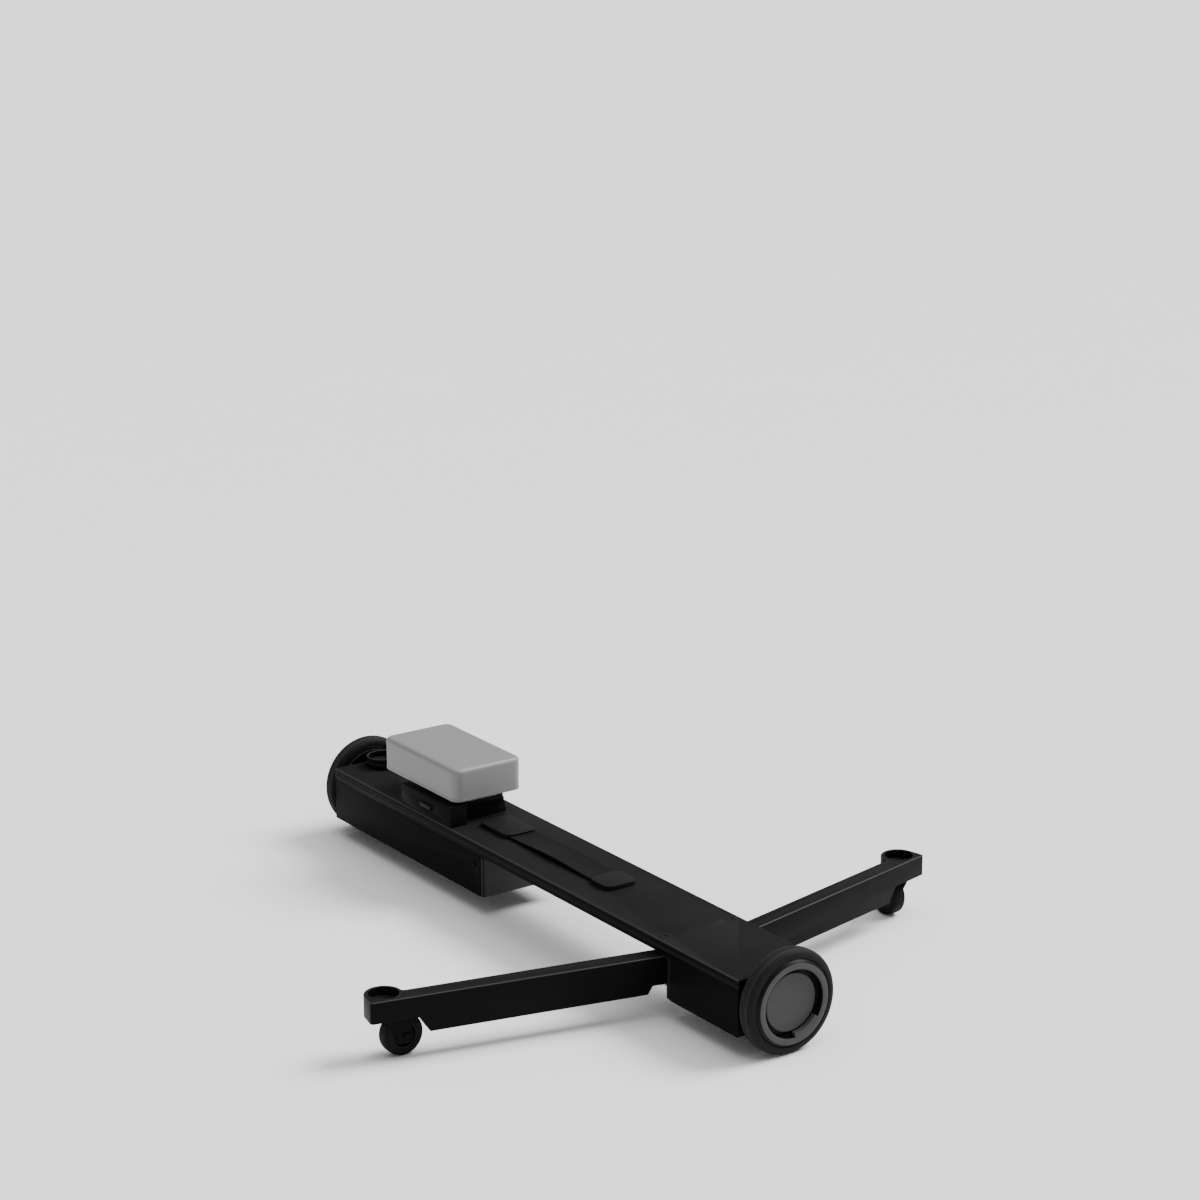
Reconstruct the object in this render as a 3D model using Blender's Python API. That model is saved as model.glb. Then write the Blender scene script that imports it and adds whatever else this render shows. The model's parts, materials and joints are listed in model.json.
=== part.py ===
"""Motorized camera dolly: a long beam between two driven wheels, with two folding caster arms.

Built in metres, +Z up. The origin is on the floor under the middle of the beam. +X runs along the
beam to the right wheel, and +Y to the rear arm. Left pieces are at -X and front pieces at -Y.
"""

import math

import bmesh
import bpy
from mathutils import Vector

MM = 0.001

# Clearances
GAP = 0.3 * MM
WHEEL_GAP = 2.0 * MM
STOW_CLEARANCE = 2.8 * MM
SWIVEL_CLEARANCE = 2.0 * MM
FORK_CLEARANCE = 1.0 * MM

# Beam
OVERALL_LENGTH = 900.0 * MM
BEAM_WIDTH = 113.3 * MM
AXLE_TO_DECK_TOP = 32.1 * MM
BEAM_HEIGHT = 66.4 * MM
DECK_THICKNESS = 15.3 * MM
DECK_SKIN = 4.0 * MM
DECK_SKIRT = 3.5 * MM
DECK_CHAMFER = 1.5 * MM
GROOVE_DEPTH = 1.0 * MM
UPPER_GROOVE = (2.6 * MM, 3.8 * MM)
LOWER_GROOVE = (6.2 * MM, 8.2 * MM)
LEFT_HOUSING_LENGTH = 348.6 * MM
RIGHT_HOUSING_LENGTH = 129.8 * MM
HOUSING_WALL = 3.0 * MM
HOUSING_FLOOR = 4.0 * MM
INNER_CAP_THICKNESS = 7.0 * MM
END_PLATE_THICKNESS = 6.0 * MM
BAY_COVER_THICKNESS = 2.0 * MM
HATCH_THICKNESS = 1.7 * MM
HATCH_LEDGE = 5.0 * MM
HATCH_WIDTH = 76.0 * MM
HATCH_END_MARGIN = 28.0 * MM

# Driven wheels
WHEEL_DIAMETER = 120.0 * MM
WHEEL_WIDTH = 24.3 * MM
TYRE_WIDTH = 21.5 * MM
TYRE_DEPTH = 10.0 * MM
TYRE_SHOULDER = 8.0 * MM
TYRE_RIB_HEIGHT = 1.5 * MM
TYRE_RIB_WIDTH = 5.0 * MM
RIM_RING_RADIUS = 46.1 * MM
RIM_WELL_RADIUS = 39.2 * MM
RIM_EDGE_DEPTH = 3.15 * MM
RIM_WELL_DEPTH = 10.0 * MM
RIM_WEB = 3.5 * MM
RIM_DRUM_WALL = 4.0 * MM
HUB_BOSS_RADIUS = 14.0 * MM
HUB_CAP_RADIUS = 33.5 * MM
HUB_CAP_RECESS = 6.2 * MM
HUB_CAP_CHAMFER = 0.8 * MM
AXLE_RADIUS = 6.0 * MM
BEARING_RADIUS = 11.0 * MM

# Gearmotors
GEARBOX_RADIUS = 24.0 * MM
GEARBOX_LENGTH = 35.0 * MM
AXLE_SEAT_DEPTH = 20.0 * MM
MOTOR_RADIUS = 20.0 * MM
MOTOR_LENGTH = 50.0 * MM
ENCODER_RADIUS = 16.0 * MM
ENCODER_LENGTH = 12.0 * MM

# Arms and their pivots
PIVOT_END_INSET = 15.9 * MM
PIVOT_SIDE_INSET = 11.15 * MM
ARM_SPREAD = math.radians(12.6)
ARM_REACH = 325.0 * MM
ARM_WIDTH = 22.0 * MM
ARM_HEIGHT = 43.6 * MM
ARM_TOP_WALL = 4.6 * MM
ARM_SIDE_WALL = 3.0 * MM
ARM_EDGE = 1.0 * MM
ARM_ROOT_RADIUS = ARM_WIDTH / 2
ARM_ROOT_LENGTH = 20.0 * MM
ARM_ROOT_RUN = 6.0 * MM
ARM_ROOT_RISE = 10.0 * MM
ARM_TIP_RADIUS = 21.5 * MM
ARM_TIP_WALL = 2.0 * MM
ARM_TIP_CORNER = 3.0 * MM
ARM_TIP_FLOOR = 6.0 * MM
ARM_TIP_SKIRT = 5.6 * MM
ARM_FILLET = 3.0 * MM
ARM_NOTCH_RUN = 12.0 * MM
SWIVEL_SETBACK = 10.5 * MM
PIN_RADIUS = 5.0 * MM
PIN_FLANGE_RADIUS = 10.0 * MM
PIN_FLANGE_THICKNESS = 2.8 * MM
PIVOT_WASHER_RADIUS = 10.5 * MM
PIVOT_SCREW_HEAD_RADIUS = 8.0 * MM
PIVOT_SCREW_HEAD = 2.0 * MM
PIVOT_SCREW_RADIUS = 3.0 * MM
PIVOT_SCREW_LENGTH = 12.0 * MM
SCREW_SOCKET_RADIUS = 3.4 * MM
SCREW_SOCKET_DEPTH = 1.3 * MM
PIVOT_BLOCK_LENGTH = 38.0 * MM

# Foot cups, one on each arm and one on the beam
CUP_RADIUS = 21.5 * MM
CUP_WALL = 3.0 * MM
CUP_RISE = 0.4 * MM
CUP_CHAMFER = 1.5 * MM
ARM_CUP_CHAMFER = 0.7 * MM
ARM_CUP_WALL = 2.0 * MM
ARM_CUP_FLOOR = 1.7 * MM
PAD_THICKNESS = 2.0 * MM
BEAM_CUP_HEIGHT = 14.0 * MM
BEAM_CUP_FLOOR = 4.0 * MM
BEAM_CUP_END_MARGIN = 25.7 * MM

# Casters
CASTER_DIAMETER = 48.0 * MM
CASTER_WIDTH = 17.0 * MM
CASTER_TRAIL = 9.0 * MM
CASTER_TYRE_DEPTH = 7.7 * MM
CASTER_SHOULDER = 3.0 * MM
CASTER_AXLE_RADIUS = 3.0 * MM
CASTER_SIDE_CLEARANCE = 0.6 * MM
CASTER_TOP_CLEARANCE = 0.8 * MM
FORK_CHEEK = 3.0 * MM
FORK_CROWN = 2.8 * MM
FORK_CROWN_HALF_LENGTH = 14.0 * MM
FORK_CROWN_SIDE = 6.0 * MM
FORK_END_RADIUS = 9.0 * MM
STEM_RADIUS = 4.0 * MM
SWIVEL_BEARING_RADIUS = 13.0 * MM
SWIVEL_BEARING_THICKNESS = 2.0 * MM
NUT_RADIUS = 8.0 * MM
NUT_THICKNESS = 2.8 * MM
NUT_POCKET = 3.4 * MM

# Battery and its mount
MOUNT_END_MARGIN = 161.7 * MM
MOUNT_LENGTH = 99.0 * MM
MOUNT_HALF_WIDTH = 34.0 * MM
MOUNT_HEIGHT = 17.7 * MM
MOUNT_SLOPE = 6.0 * MM
MOUNT_STEPS = 3
MOUNT_WALL = 5.0 * MM
FRONT_WALL_EXTENSION = 14.0 * MM
FRONT_WALL_INSET = 1.0 * MM
FRONT_WALL_HEIGHT = 26.0 * MM
PLATE_INSET = 17.0 * MM
PLATE_SIDE_GAP = 1.5 * MM
PLATE_THICKNESS = 12.3 * MM
DOVETAIL_TOP = 34.0 * MM
DOVETAIL_BOTTOM = 42.0 * MM
DOVETAIL_DEPTH = 7.0 * MM
DOVETAIL_LENGTH = 40.0 * MM
BATTERY_LENGTH = 168.0 * MM
BATTERY_WIDTH = 98.0 * MM
BATTERY_HEIGHT = 41.0 * MM
BATTERY_OVERHANG = 15.5 * MM
BATTERY_BASE = 3.0 * MM
BATTERY_WALL = 2.5 * MM
BATTERY_CORNER = 12.0 * MM
BATTERY_HOLLOW_CORNER = 6.0 * MM
BATTERY_EDGE = 4.0 * MM
CELL_MARGIN = 3.0 * MM
RELEASE_LENGTH = 24.0 * MM
RELEASE_HEIGHT = 6.0 * MM
RELEASE_DEPTH = 8.0 * MM
RELEASE_PROUD = 2.5 * MM
RELEASE_TRAVEL = 2.0 * MM

# Carry strap
STRAP_MOUNT_GAP = 24.0 * MM
STRAP_LENGTH = 272.0 * MM
STRAP_INSET = 15.0 * MM
STRAP_HALF_WIDTH = 18.0 * MM
STRAP_THICKNESS = 3.5 * MM
STRAP_RISE = 2.5 * MM
STRAP_CAP_HALF_WIDTH = 22.0 * MM
STRAP_CAP_ROOF = 1.8 * MM
LEFT_CAP_LENGTH = 64.0 * MM
RIGHT_CAP_LENGTH = 38.0 * MM
STRAP_CAP_CORNER = 9.0 * MM

# Electronics and the power button
BOARD_LENGTH = 120.0 * MM
BOARD_WIDTH = 80.0 * MM
BOARD_END_MARGIN = 133.7 * MM
BOARD_THICKNESS = 2.0 * MM
BOARD_STANDOFF = 5.0 * MM
BOARD_FOOT = 7.0 * MM
HEAT_SINK_LENGTH = 60.0 * MM
HEAT_SINK_HEIGHT = 14.0 * MM
BUTTON_INSET = 20.5 * MM
BUTTON_DROP = 13.6 * MM
BUTTON_RADIUS = 4.0 * MM
BUTTON_TRAVEL = 1.0 * MM
BUTTON_FLANGE_RADIUS = 5.6 * MM
BUTTON_FLANGE = 1.4 * MM
BUTTON_STEM = 3.0 * MM

# Rounding steps of turned pieces
FINE_STEPS = 48
MIDDLE_STEPS = 32
SMALL_STEPS = 20
HEXAGON = 6

# Levels and places that follow from the sizes above
WHEEL_RADIUS = WHEEL_DIAMETER / 2
HALF_WIDTH = BEAM_WIDTH / 2
DECK_TOP = WHEEL_RADIUS + AXLE_TO_DECK_TOP
DECK_BOTTOM = DECK_TOP - DECK_THICKNESS
GROUND_CLEARANCE = DECK_TOP - BEAM_HEIGHT
SKIN_BOTTOM = DECK_TOP - DECK_SKIN
SKIRT_INSIDE = HALF_WIDTH - DECK_SKIRT
HOUSING_TOP = DECK_BOTTOM - GAP
HOUSING_INSIDE = HALF_WIDTH - HOUSING_WALL
FLOOR_TOP = GROUND_CLEARANCE + HOUSING_FLOOR
HOUSING_END = OVERALL_LENGTH / 2 - WHEEL_WIDTH - WHEEL_GAP
WHEEL_CENTRE = OVERALL_LENGTH / 2 - WHEEL_WIDTH / 2
LEFT_BAY_END = LEFT_HOUSING_LENGTH - HOUSING_END
RIGHT_BAY_END = HOUSING_END - RIGHT_HOUSING_LENGTH
PIVOT_X = RIGHT_BAY_END - PIVOT_END_INSET
PIVOT_Y = HALF_WIDTH - PIVOT_SIDE_INSET
RIM_RADIUS = WHEEL_RADIUS - TYRE_DEPTH
TYRE_OFFSET = (TYRE_WIDTH - WHEEL_WIDTH) / 2
PLATE_INSIDE = HOUSING_END - END_PLATE_THICKNESS
ABOVE_DECK = DECK_TOP + GAP
CUP_RIM = DECK_BOTTOM - STOW_CLEARANCE
ARM_TOP = CUP_RIM - CUP_RISE
ARM_BOTTOM = ARM_TOP - ARM_HEIGHT
ARM_ROOT_BOTTOM = ARM_BOTTOM + ARM_ROOT_RISE
CASTER_RADIUS = CASTER_DIAMETER / 2
CASTER_HUB_RADIUS = CASTER_RADIUS - CASTER_TYRE_DEPTH - GAP
CROWN_BOTTOM = CASTER_DIAMETER + CASTER_TOP_CLEARANCE
CROWN_TOP = CROWN_BOTTOM + FORK_CROWN
SWIVEL_BEARING_TOP = CROWN_TOP + GAP + SWIVEL_BEARING_THICKNESS
ARM_TIP_BOTTOM = SWIVEL_BEARING_TOP + GAP
ARM_TIP_SEAT = ARM_TIP_BOTTOM + ARM_TIP_FLOOR
NUT_POCKET_FLOOR = ARM_TIP_SEAT - NUT_POCKET
ARM_CUP_BOTTOM = ARM_TIP_SEAT + GAP
ARM_CUP_FLOOR_TOP = ARM_CUP_BOTTOM + ARM_CUP_FLOOR
ARM_SEAT_RADIUS = ARM_TIP_RADIUS - ARM_TIP_WALL
ARM_CUP_RADIUS = ARM_SEAT_RADIUS - GAP
ARM_CUP_INSIDE = ARM_CUP_RADIUS - ARM_CUP_WALL
TIP_OFFSET = ARM_TIP_RADIUS - ARM_WIDTH / 2
SWIVEL_REACH = ARM_REACH - SWIVEL_SETBACK
NOTCH_START = SWIVEL_REACH - CASTER_TRAIL - CASTER_RADIUS - SWIVEL_CLEARANCE
NOTCH_END = NOTCH_START + ARM_NOTCH_RUN
BEAM_CUP_X = -(HOUSING_END - BEAM_CUP_END_MARGIN)
MOUNT_LEFT = MOUNT_END_MARGIN - HOUSING_END
MOUNT_RIGHT = MOUNT_LEFT + MOUNT_LENGTH
MOUNT_TOP = ABOVE_DECK + MOUNT_HEIGHT
PLATE_BOTTOM = MOUNT_TOP + GAP
PLATE_TOP = PLATE_BOTTOM + PLATE_THICKNESS
BATTERY_BOTTOM = PLATE_TOP + GAP
PLATE_LEFT = MOUNT_LEFT + PLATE_INSET
PLATE_RIGHT = MOUNT_RIGHT
PLATE_HALF_WIDTH = MOUNT_HALF_WIDTH - MOUNT_WALL / 2 - PLATE_SIDE_GAP
BATTERY_RIGHT = PLATE_RIGHT + BATTERY_OVERHANG
BATTERY_LEFT = BATTERY_RIGHT - BATTERY_LENGTH
BATTERY_HALF_WIDTH = BATTERY_WIDTH / 2
BATTERY_TOP = BATTERY_BOTTOM + BATTERY_HEIGHT
BUTTON_PROUD = BUTTON_TRAVEL + GAP

SIDES = (("left", -1), ("right", 1))
ENDS = (("front", -1), ("rear", 1))

# Colour, roughness and metallic value of each material
FINISHES = {
    "black_anodised": ((0.030, 0.030, 0.032), 0.42, 0.55),
    "black_paint": ((0.016, 0.016, 0.017), 0.48, 0.0),
    "grey_cap": ((0.075, 0.075, 0.078), 0.45, 0.3),
    "black_rubber": ((0.014, 0.014, 0.014), 0.75, 0.0),
    "black_nylon": ((0.020, 0.020, 0.021), 0.55, 0.0),
    "wheel_grey": ((0.105, 0.105, 0.108), 0.38, 0.25),
    "hub_grey": ((0.090, 0.090, 0.092), 0.45, 0.1),
    "battery_grey": ((0.300, 0.300, 0.305), 0.50, 0.0),
    "steel": ((0.560, 0.560, 0.570), 0.28, 1.0),
    "aluminium": ((0.600, 0.600, 0.610), 0.35, 1.0),
    "circuit_green": ((0.020, 0.110, 0.045), 0.50, 0.0),
    "cell_blue": ((0.040, 0.090, 0.260), 0.50, 0.0),
}


def clear_scene():
    """Removes whatever the opened file holds."""
    for thing in list(bpy.data.objects):
        bpy.data.objects.remove(thing, do_unlink=True)


def material(name):
    """Returns the named finish, made on its first use."""
    found = bpy.data.materials.get(name)
    if found:
        return found
    colour, roughness, metallic = FINISHES[name]
    made = bpy.data.materials.new(name)
    made.use_nodes = True
    shader = made.node_tree.nodes["Principled BSDF"]
    shader.inputs["Base Color"].default_value = (*colour, 1.0)
    shader.inputs["Roughness"].default_value = roughness
    shader.inputs["Metallic"].default_value = metallic
    return made


def keep(name, shape, finish=None, parent=None):
    """Turns a bmesh into a linked object with smooth round faces and sharp corners."""
    bmesh.ops.recalc_face_normals(shape, faces=shape.faces)
    mesh = bpy.data.meshes.new(name)
    shape.to_mesh(mesh)
    shape.free()
    mesh.shade_smooth()
    mesh.set_sharp_from_angle(angle=math.radians(35))
    thing = bpy.data.objects.new(name, mesh)
    bpy.context.scene.collection.objects.link(thing)
    if finish:
        mesh.materials.append(material(finish))
    thing.parent = parent
    return thing


def empty(name, location, turn=0.0, parent=None):
    """Adds an empty that carries the pieces of one joint."""
    thing = bpy.data.objects.new(name, None)
    bpy.context.scene.collection.objects.link(thing)
    thing.location = location
    thing.rotation_euler = (0, 0, turn)
    thing.parent = parent
    return thing


def along(axis, u, v, depth):
    """Places a point of an outline (u, v) at a depth along X, Y or Z."""
    return {"X": (depth, u, v), "Y": (u, depth, v), "Z": (u, v, depth)}[axis]


def prism(name, outline, axis, low, high, finish=None, parent=None):
    """Extrudes a closed outline along one axis."""
    shape = bmesh.new()
    face = shape.faces.new([shape.verts.new(along(axis, u, v, low)) for u, v in outline])
    made = bmesh.ops.extrude_face_region(shape, geom=[face])["geom"]
    moved = [item for item in made if isinstance(item, bmesh.types.BMVert)]
    bmesh.ops.translate(shape, verts=moved, vec=Vector(along(axis, 0, 0, high - low)))
    return keep(name, shape, finish, parent)


def box(name, low, high, finish=None, parent=None):
    """Makes a block between two corners."""
    outline = [(low[0], low[1]), (high[0], low[1]), (high[0], high[1]), (low[0], high[1])]
    return prism(name, outline, "Z", low[2], high[2], finish, parent)


def turned(name, profile, steps, finish=None, parent=None, ring=False):
    """Turns a profile of (radius, height) points about the object's own Z axis."""
    shape = bmesh.new()
    points = [shape.verts.new((radius, 0, height)) for radius, height in profile]
    edges = [shape.edges.new(pair) for pair in zip(points, points[1:])]
    if ring:
        edges.append(shape.edges.new((points[-1], points[0])))
    bmesh.ops.spin(shape, geom=points + edges, cent=(0, 0, 0), axis=(0, 0, 1), angle=math.tau, steps=steps)
    bmesh.ops.remove_doubles(shape, verts=shape.verts, dist=0.001 * MM)
    return keep(name, shape, finish, parent)


def rod(name, radius, low, high, steps=SMALL_STEPS, finish=None, parent=None):
    """Turns a plain round bar."""
    profile = [(0, low), (radius, low), (radius, high), (0, high)]
    return turned(name, profile, steps, finish, parent)


def washer(name, inner, outer, low, high, steps=SMALL_STEPS, finish=None, parent=None):
    """Turns a plain ring."""
    profile = [(inner, low), (outer, low), (outer, high), (inner, high)]
    return turned(name, profile, steps, finish, parent, ring=True)


def boolean(thing, tool, operation):
    """Cuts or joins a hidden tool object."""
    tool.hide_render = True
    tool.display_type = "WIRE"
    step = thing.modifiers.new(tool.name, "BOOLEAN")
    step.operation = operation
    step.solver = "EXACT"
    step.object = tool
    return thing


def cut(thing, tool):
    return boolean(thing, tool, "DIFFERENCE")


def join(thing, tool):
    return boolean(thing, tool, "UNION")


def bevel(thing, width, segments=1):
    """Rounds or chamfers the sharp edges of a piece."""
    step = thing.modifiers.new("edges", "BEVEL")
    step.width = width
    step.segments = segments
    step.limit_method = "ANGLE"
    step.angle_limit = math.radians(40)
    step.use_clamp_overlap = True
    return thing


def rounded_outline(left, right, low, high, radius, steps=6):
    """Returns a rectangle with round corners."""
    corners = ((right, high, 0), (left, high, 1), (left, low, 2), (right, low, 3))
    outline = []
    for x, y, quarter in corners:
        centre_x = x - radius if x == right else x + radius
        centre_y = y - radius if y == high else y + radius
        for step in range(steps + 1):
            angle = (quarter + step / steps) * math.pi / 2
            outline.append((centre_x + radius * math.cos(angle), centre_y + radius * math.sin(angle)))
    return outline


def deck_outline():
    """Returns the deck's channel section, with two grooves along each side."""
    right = []
    right.append((HALF_WIDTH - DECK_CHAMFER, DECK_TOP))
    right.append((HALF_WIDTH, DECK_TOP - DECK_CHAMFER))
    for start, end in (UPPER_GROOVE, LOWER_GROOVE):
        right.append((HALF_WIDTH, DECK_TOP - start))
        right.append((HALF_WIDTH - GROOVE_DEPTH, DECK_TOP - start))
        right.append((HALF_WIDTH - GROOVE_DEPTH, DECK_TOP - end))
        right.append((HALF_WIDTH, DECK_TOP - end))
    right.append((HALF_WIDTH, DECK_BOTTOM))
    right.append((SKIRT_INSIDE, DECK_BOTTOM))
    right.append((SKIRT_INSIDE, SKIN_BOTTOM))
    left = [(-y, z) for y, z in reversed(right)]
    return right + left


def deck_plate():
    """The long top plate, a channel that is open below, with a seat for each pivot screw."""
    deck = prism("deck_plate", deck_outline(), "X", -HOUSING_END, HOUSING_END, "black_anodised")
    for name, side in ENDS:
        place = (PIVOT_X, side * PIVOT_Y, 0)
        seat = DECK_TOP - PIVOT_SCREW_HEAD - GAP
        head = rod(f"{name}_screw_seat_cutter", PIVOT_SCREW_HEAD_RADIUS + GAP, seat, DECK_TOP + DECK_SKIN)
        head.location = place
        cut(deck, head)
        hole = rod(f"{name}_screw_hole_cutter", PIVOT_SCREW_RADIUS + GAP, DECK_BOTTOM, DECK_TOP)
        hole.location = place
        cut(deck, hole)


def bay_cover():
    """The thin plate that closes the deck's channel above the arm bay."""
    low = DECK_BOTTOM
    high = DECK_BOTTOM + BAY_COVER_THICKNESS
    left = LEFT_BAY_END - INNER_CAP_THICKNESS
    right = RIGHT_BAY_END + INNER_CAP_THICKNESS
    half = SKIRT_INSIDE - GAP
    cover = box("bay_cover", (left, -half, low), (right, half, high), "black_paint")
    for name, side in ENDS:
        hole = rod(f"{name}_cover_hole_cutter", PIN_RADIUS + GAP, low - DECK_SKIN, high + DECK_SKIN)
        hole.location = (PIVOT_X, side * PIVOT_Y, 0)
        cut(cover, hole)


def pivot_block():
    """The block inside the deck that holds both arm pivots."""
    low = DECK_BOTTOM + BAY_COVER_THICKNESS + GAP
    high = SKIN_BOTTOM - GAP
    half = SKIRT_INSIDE - GAP
    reach = PIVOT_BLOCK_LENGTH / 2
    block = box("pivot_block", (PIVOT_X - reach, -half, low), (PIVOT_X + reach, half, high), "aluminium")
    for name, side in ENDS:
        hole = rod(f"{name}_block_hole_cutter", PIN_RADIUS + GAP, low - DECK_SKIN, high + DECK_SKIN)
        hole.location = (PIVOT_X, side * PIVOT_Y, 0)
        cut(block, hole)


def housing(name, side, bay_end):
    """One deep trough under the deck, with its bottom hatch, inner cap and outer end plate."""
    outer = side * HOUSING_END
    inner = bay_end + side * (INNER_CAP_THICKNESS + GAP)
    low, high = sorted((outer, inner))
    trough = [
        (-HALF_WIDTH, HOUSING_TOP), (-HALF_WIDTH, GROUND_CLEARANCE),
        (HALF_WIDTH, GROUND_CLEARANCE), (HALF_WIDTH, HOUSING_TOP),
        (HOUSING_INSIDE, HOUSING_TOP), (HOUSING_INSIDE, FLOOR_TOP),
        (-HOUSING_INSIDE, FLOOR_TOP), (-HOUSING_INSIDE, HOUSING_TOP),
    ]
    shell = prism(f"{name}_housing", trough, "X", low, high, "black_paint")

    hatch_low = low + HATCH_END_MARGIN
    hatch_high = high - HATCH_END_MARGIN
    half = HATCH_WIDTH / 2
    seat = box(
        f"{name}_hatch_seat_cutter",
        (hatch_low - GAP, -half - GAP, 0),
        (hatch_high + GAP, half + GAP, GROUND_CLEARANCE + HATCH_THICKNESS + GAP),
    )
    cut(shell, seat)
    window = box(
        f"{name}_hatch_window_cutter",
        (hatch_low + HATCH_LEDGE, HATCH_LEDGE - half, 0),
        (hatch_high - HATCH_LEDGE, half - HATCH_LEDGE, FLOOR_TOP + HOUSING_WALL),
    )
    cut(shell, window)
    box(
        f"{name}_bottom_hatch",
        (hatch_low, -half, GROUND_CLEARANCE),
        (hatch_high, half, GROUND_CLEARANCE + HATCH_THICKNESS),
        "black_nylon",
    )

    cap_low, cap_high = sorted((bay_end, bay_end + side * INNER_CAP_THICKNESS))
    cap = box(
        f"{name}_inner_cap",
        (cap_low, -HALF_WIDTH, GROUND_CLEARANCE),
        (cap_high, HALF_WIDTH, HOUSING_TOP),
        "grey_cap",
    )
    bevel(cap, DECK_CHAMFER)

    plate_low, plate_high = sorted((outer, outer - side * END_PLATE_THICKNESS))
    plate = box(
        f"{name}_end_plate",
        (plate_low, GAP - HOUSING_INSIDE, FLOOR_TOP + GAP),
        (plate_high, HOUSING_INSIDE - GAP, HOUSING_TOP),
        "black_anodised",
    )
    reach = 2 * END_PLATE_THICKNESS
    seat = rod(f"{name}_bearing_seat_cutter", BEARING_RADIUS + GAP, -reach, reach, MIDDLE_STEPS)
    seat.location = (outer, 0, WHEEL_RADIUS)
    seat.rotation_euler = (0, math.pi / 2, 0)
    cut(plate, seat)
    return shell


def housings():
    """Both troughs. The left one also has the hole for the power button."""
    left = housing("left", -1, LEFT_BAY_END)
    housing("right", 1, RIGHT_BAY_END)
    hole = rod("button_hole_cutter", BUTTON_RADIUS + GAP, -2 * HOUSING_WALL, 2 * HOUSING_WALL)
    hole.location = (LEFT_BAY_END - BUTTON_INSET, -HALF_WIDTH, DECK_BOTTOM - BUTTON_DROP)
    hole.rotation_euler = (math.pi / 2, 0, 0)
    cut(left, hole)


def tyre_profile(radius, width, depth, shoulder, steps=3, rib_height=0.0, rib_width=0.0):
    """Returns a tyre section with round shoulders and, inside, a rib that keys into the rim."""
    half = width / 2
    inner = radius - depth
    outline = [(inner, -half), (radius - shoulder, -half)]
    for step in range(1, steps + 1):
        angle = math.pi / 2 * step / steps
        outline.append((
            radius - shoulder + shoulder * math.sin(angle),
            -half + shoulder - shoulder * math.cos(angle),
        ))
    for step in range(steps):
        angle = math.pi / 2 * step / steps
        outline.append((
            radius - shoulder + shoulder * math.cos(angle),
            half - shoulder + shoulder * math.sin(angle),
        ))
    outline.append((radius - shoulder, half))
    outline.append((inner, half))
    if rib_height:
        outline.append((inner, rib_width / 2))
        outline.append((inner - rib_height, rib_width / 2))
        outline.append((inner - rib_height, -rib_width / 2))
        outline.append((inner, -rib_width / 2))
    return outline


def rim_profile():
    """Returns the rim section: a drum, a flat ring that stands out, a well for the cap and a boss."""
    half = WHEEL_WIDTH / 2
    edge = half - RIM_EDGE_DEPTH
    well = half - RIM_WELL_DEPTH
    web = well - RIM_WEB
    seat = RIM_RADIUS - GAP
    groove = seat - TYRE_RIB_HEIGHT
    rib_low = TYRE_OFFSET - TYRE_RIB_WIDTH / 2 - GAP
    rib_high = TYRE_OFFSET + TYRE_RIB_WIDTH / 2 + GAP
    drum = groove - RIM_DRUM_WALL
    bore = AXLE_RADIUS + GAP
    return [
        (bore, -half), (HUB_BOSS_RADIUS, -half), (HUB_BOSS_RADIUS, web), (drum, web), (drum, -half),
        (seat, -half), (seat, rib_low), (groove, rib_low), (groove, rib_high), (seat, rib_high),
        (seat, edge), (RIM_RING_RADIUS, half), (RIM_WELL_RADIUS, half), (RIM_WELL_RADIUS, well),
        (bore, well),
    ]


def hub_cap_profile():
    """Returns the plain round cap that covers the axle's end."""
    low = WHEEL_WIDTH / 2 - RIM_WELL_DEPTH + GAP
    high = WHEEL_WIDTH / 2 - HUB_CAP_RECESS
    edge = HUB_CAP_CHAMFER
    return [
        (0, low), (HUB_CAP_RADIUS, low), (HUB_CAP_RADIUS, high - edge),
        (HUB_CAP_RADIUS - edge, high), (0, high),
    ]


def driven_wheels():
    """Each wheel's tyre, rim, hub cap and axle, which turn together about the X axis."""
    outline = tyre_profile(
        WHEEL_RADIUS, TYRE_WIDTH, TYRE_DEPTH, TYRE_SHOULDER, 6, TYRE_RIB_HEIGHT, TYRE_RIB_WIDTH
    )
    tyre_section = [(radius, height + TYRE_OFFSET) for radius, height in outline]
    well = WHEEL_WIDTH / 2 - RIM_WELL_DEPTH
    axle_start = PLATE_INSIDE - AXLE_SEAT_DEPTH - WHEEL_CENTRE
    for name, side in SIDES:
        pieces = [
            turned(f"{name}_tyre", tyre_section, FINE_STEPS, "black_rubber", ring=True),
            turned(f"{name}_rim", rim_profile(), FINE_STEPS, "wheel_grey", ring=True),
            turned(f"{name}_hub_cap", hub_cap_profile(), FINE_STEPS, "hub_grey"),
            rod(f"{name}_axle", AXLE_RADIUS, axle_start, well, SMALL_STEPS, "steel"),
        ]
        for piece in pieces:
            piece.location = (side * WHEEL_CENTRE, 0, WHEEL_RADIUS)
            piece.rotation_euler = (0, side * math.pi / 2, 0)


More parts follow.
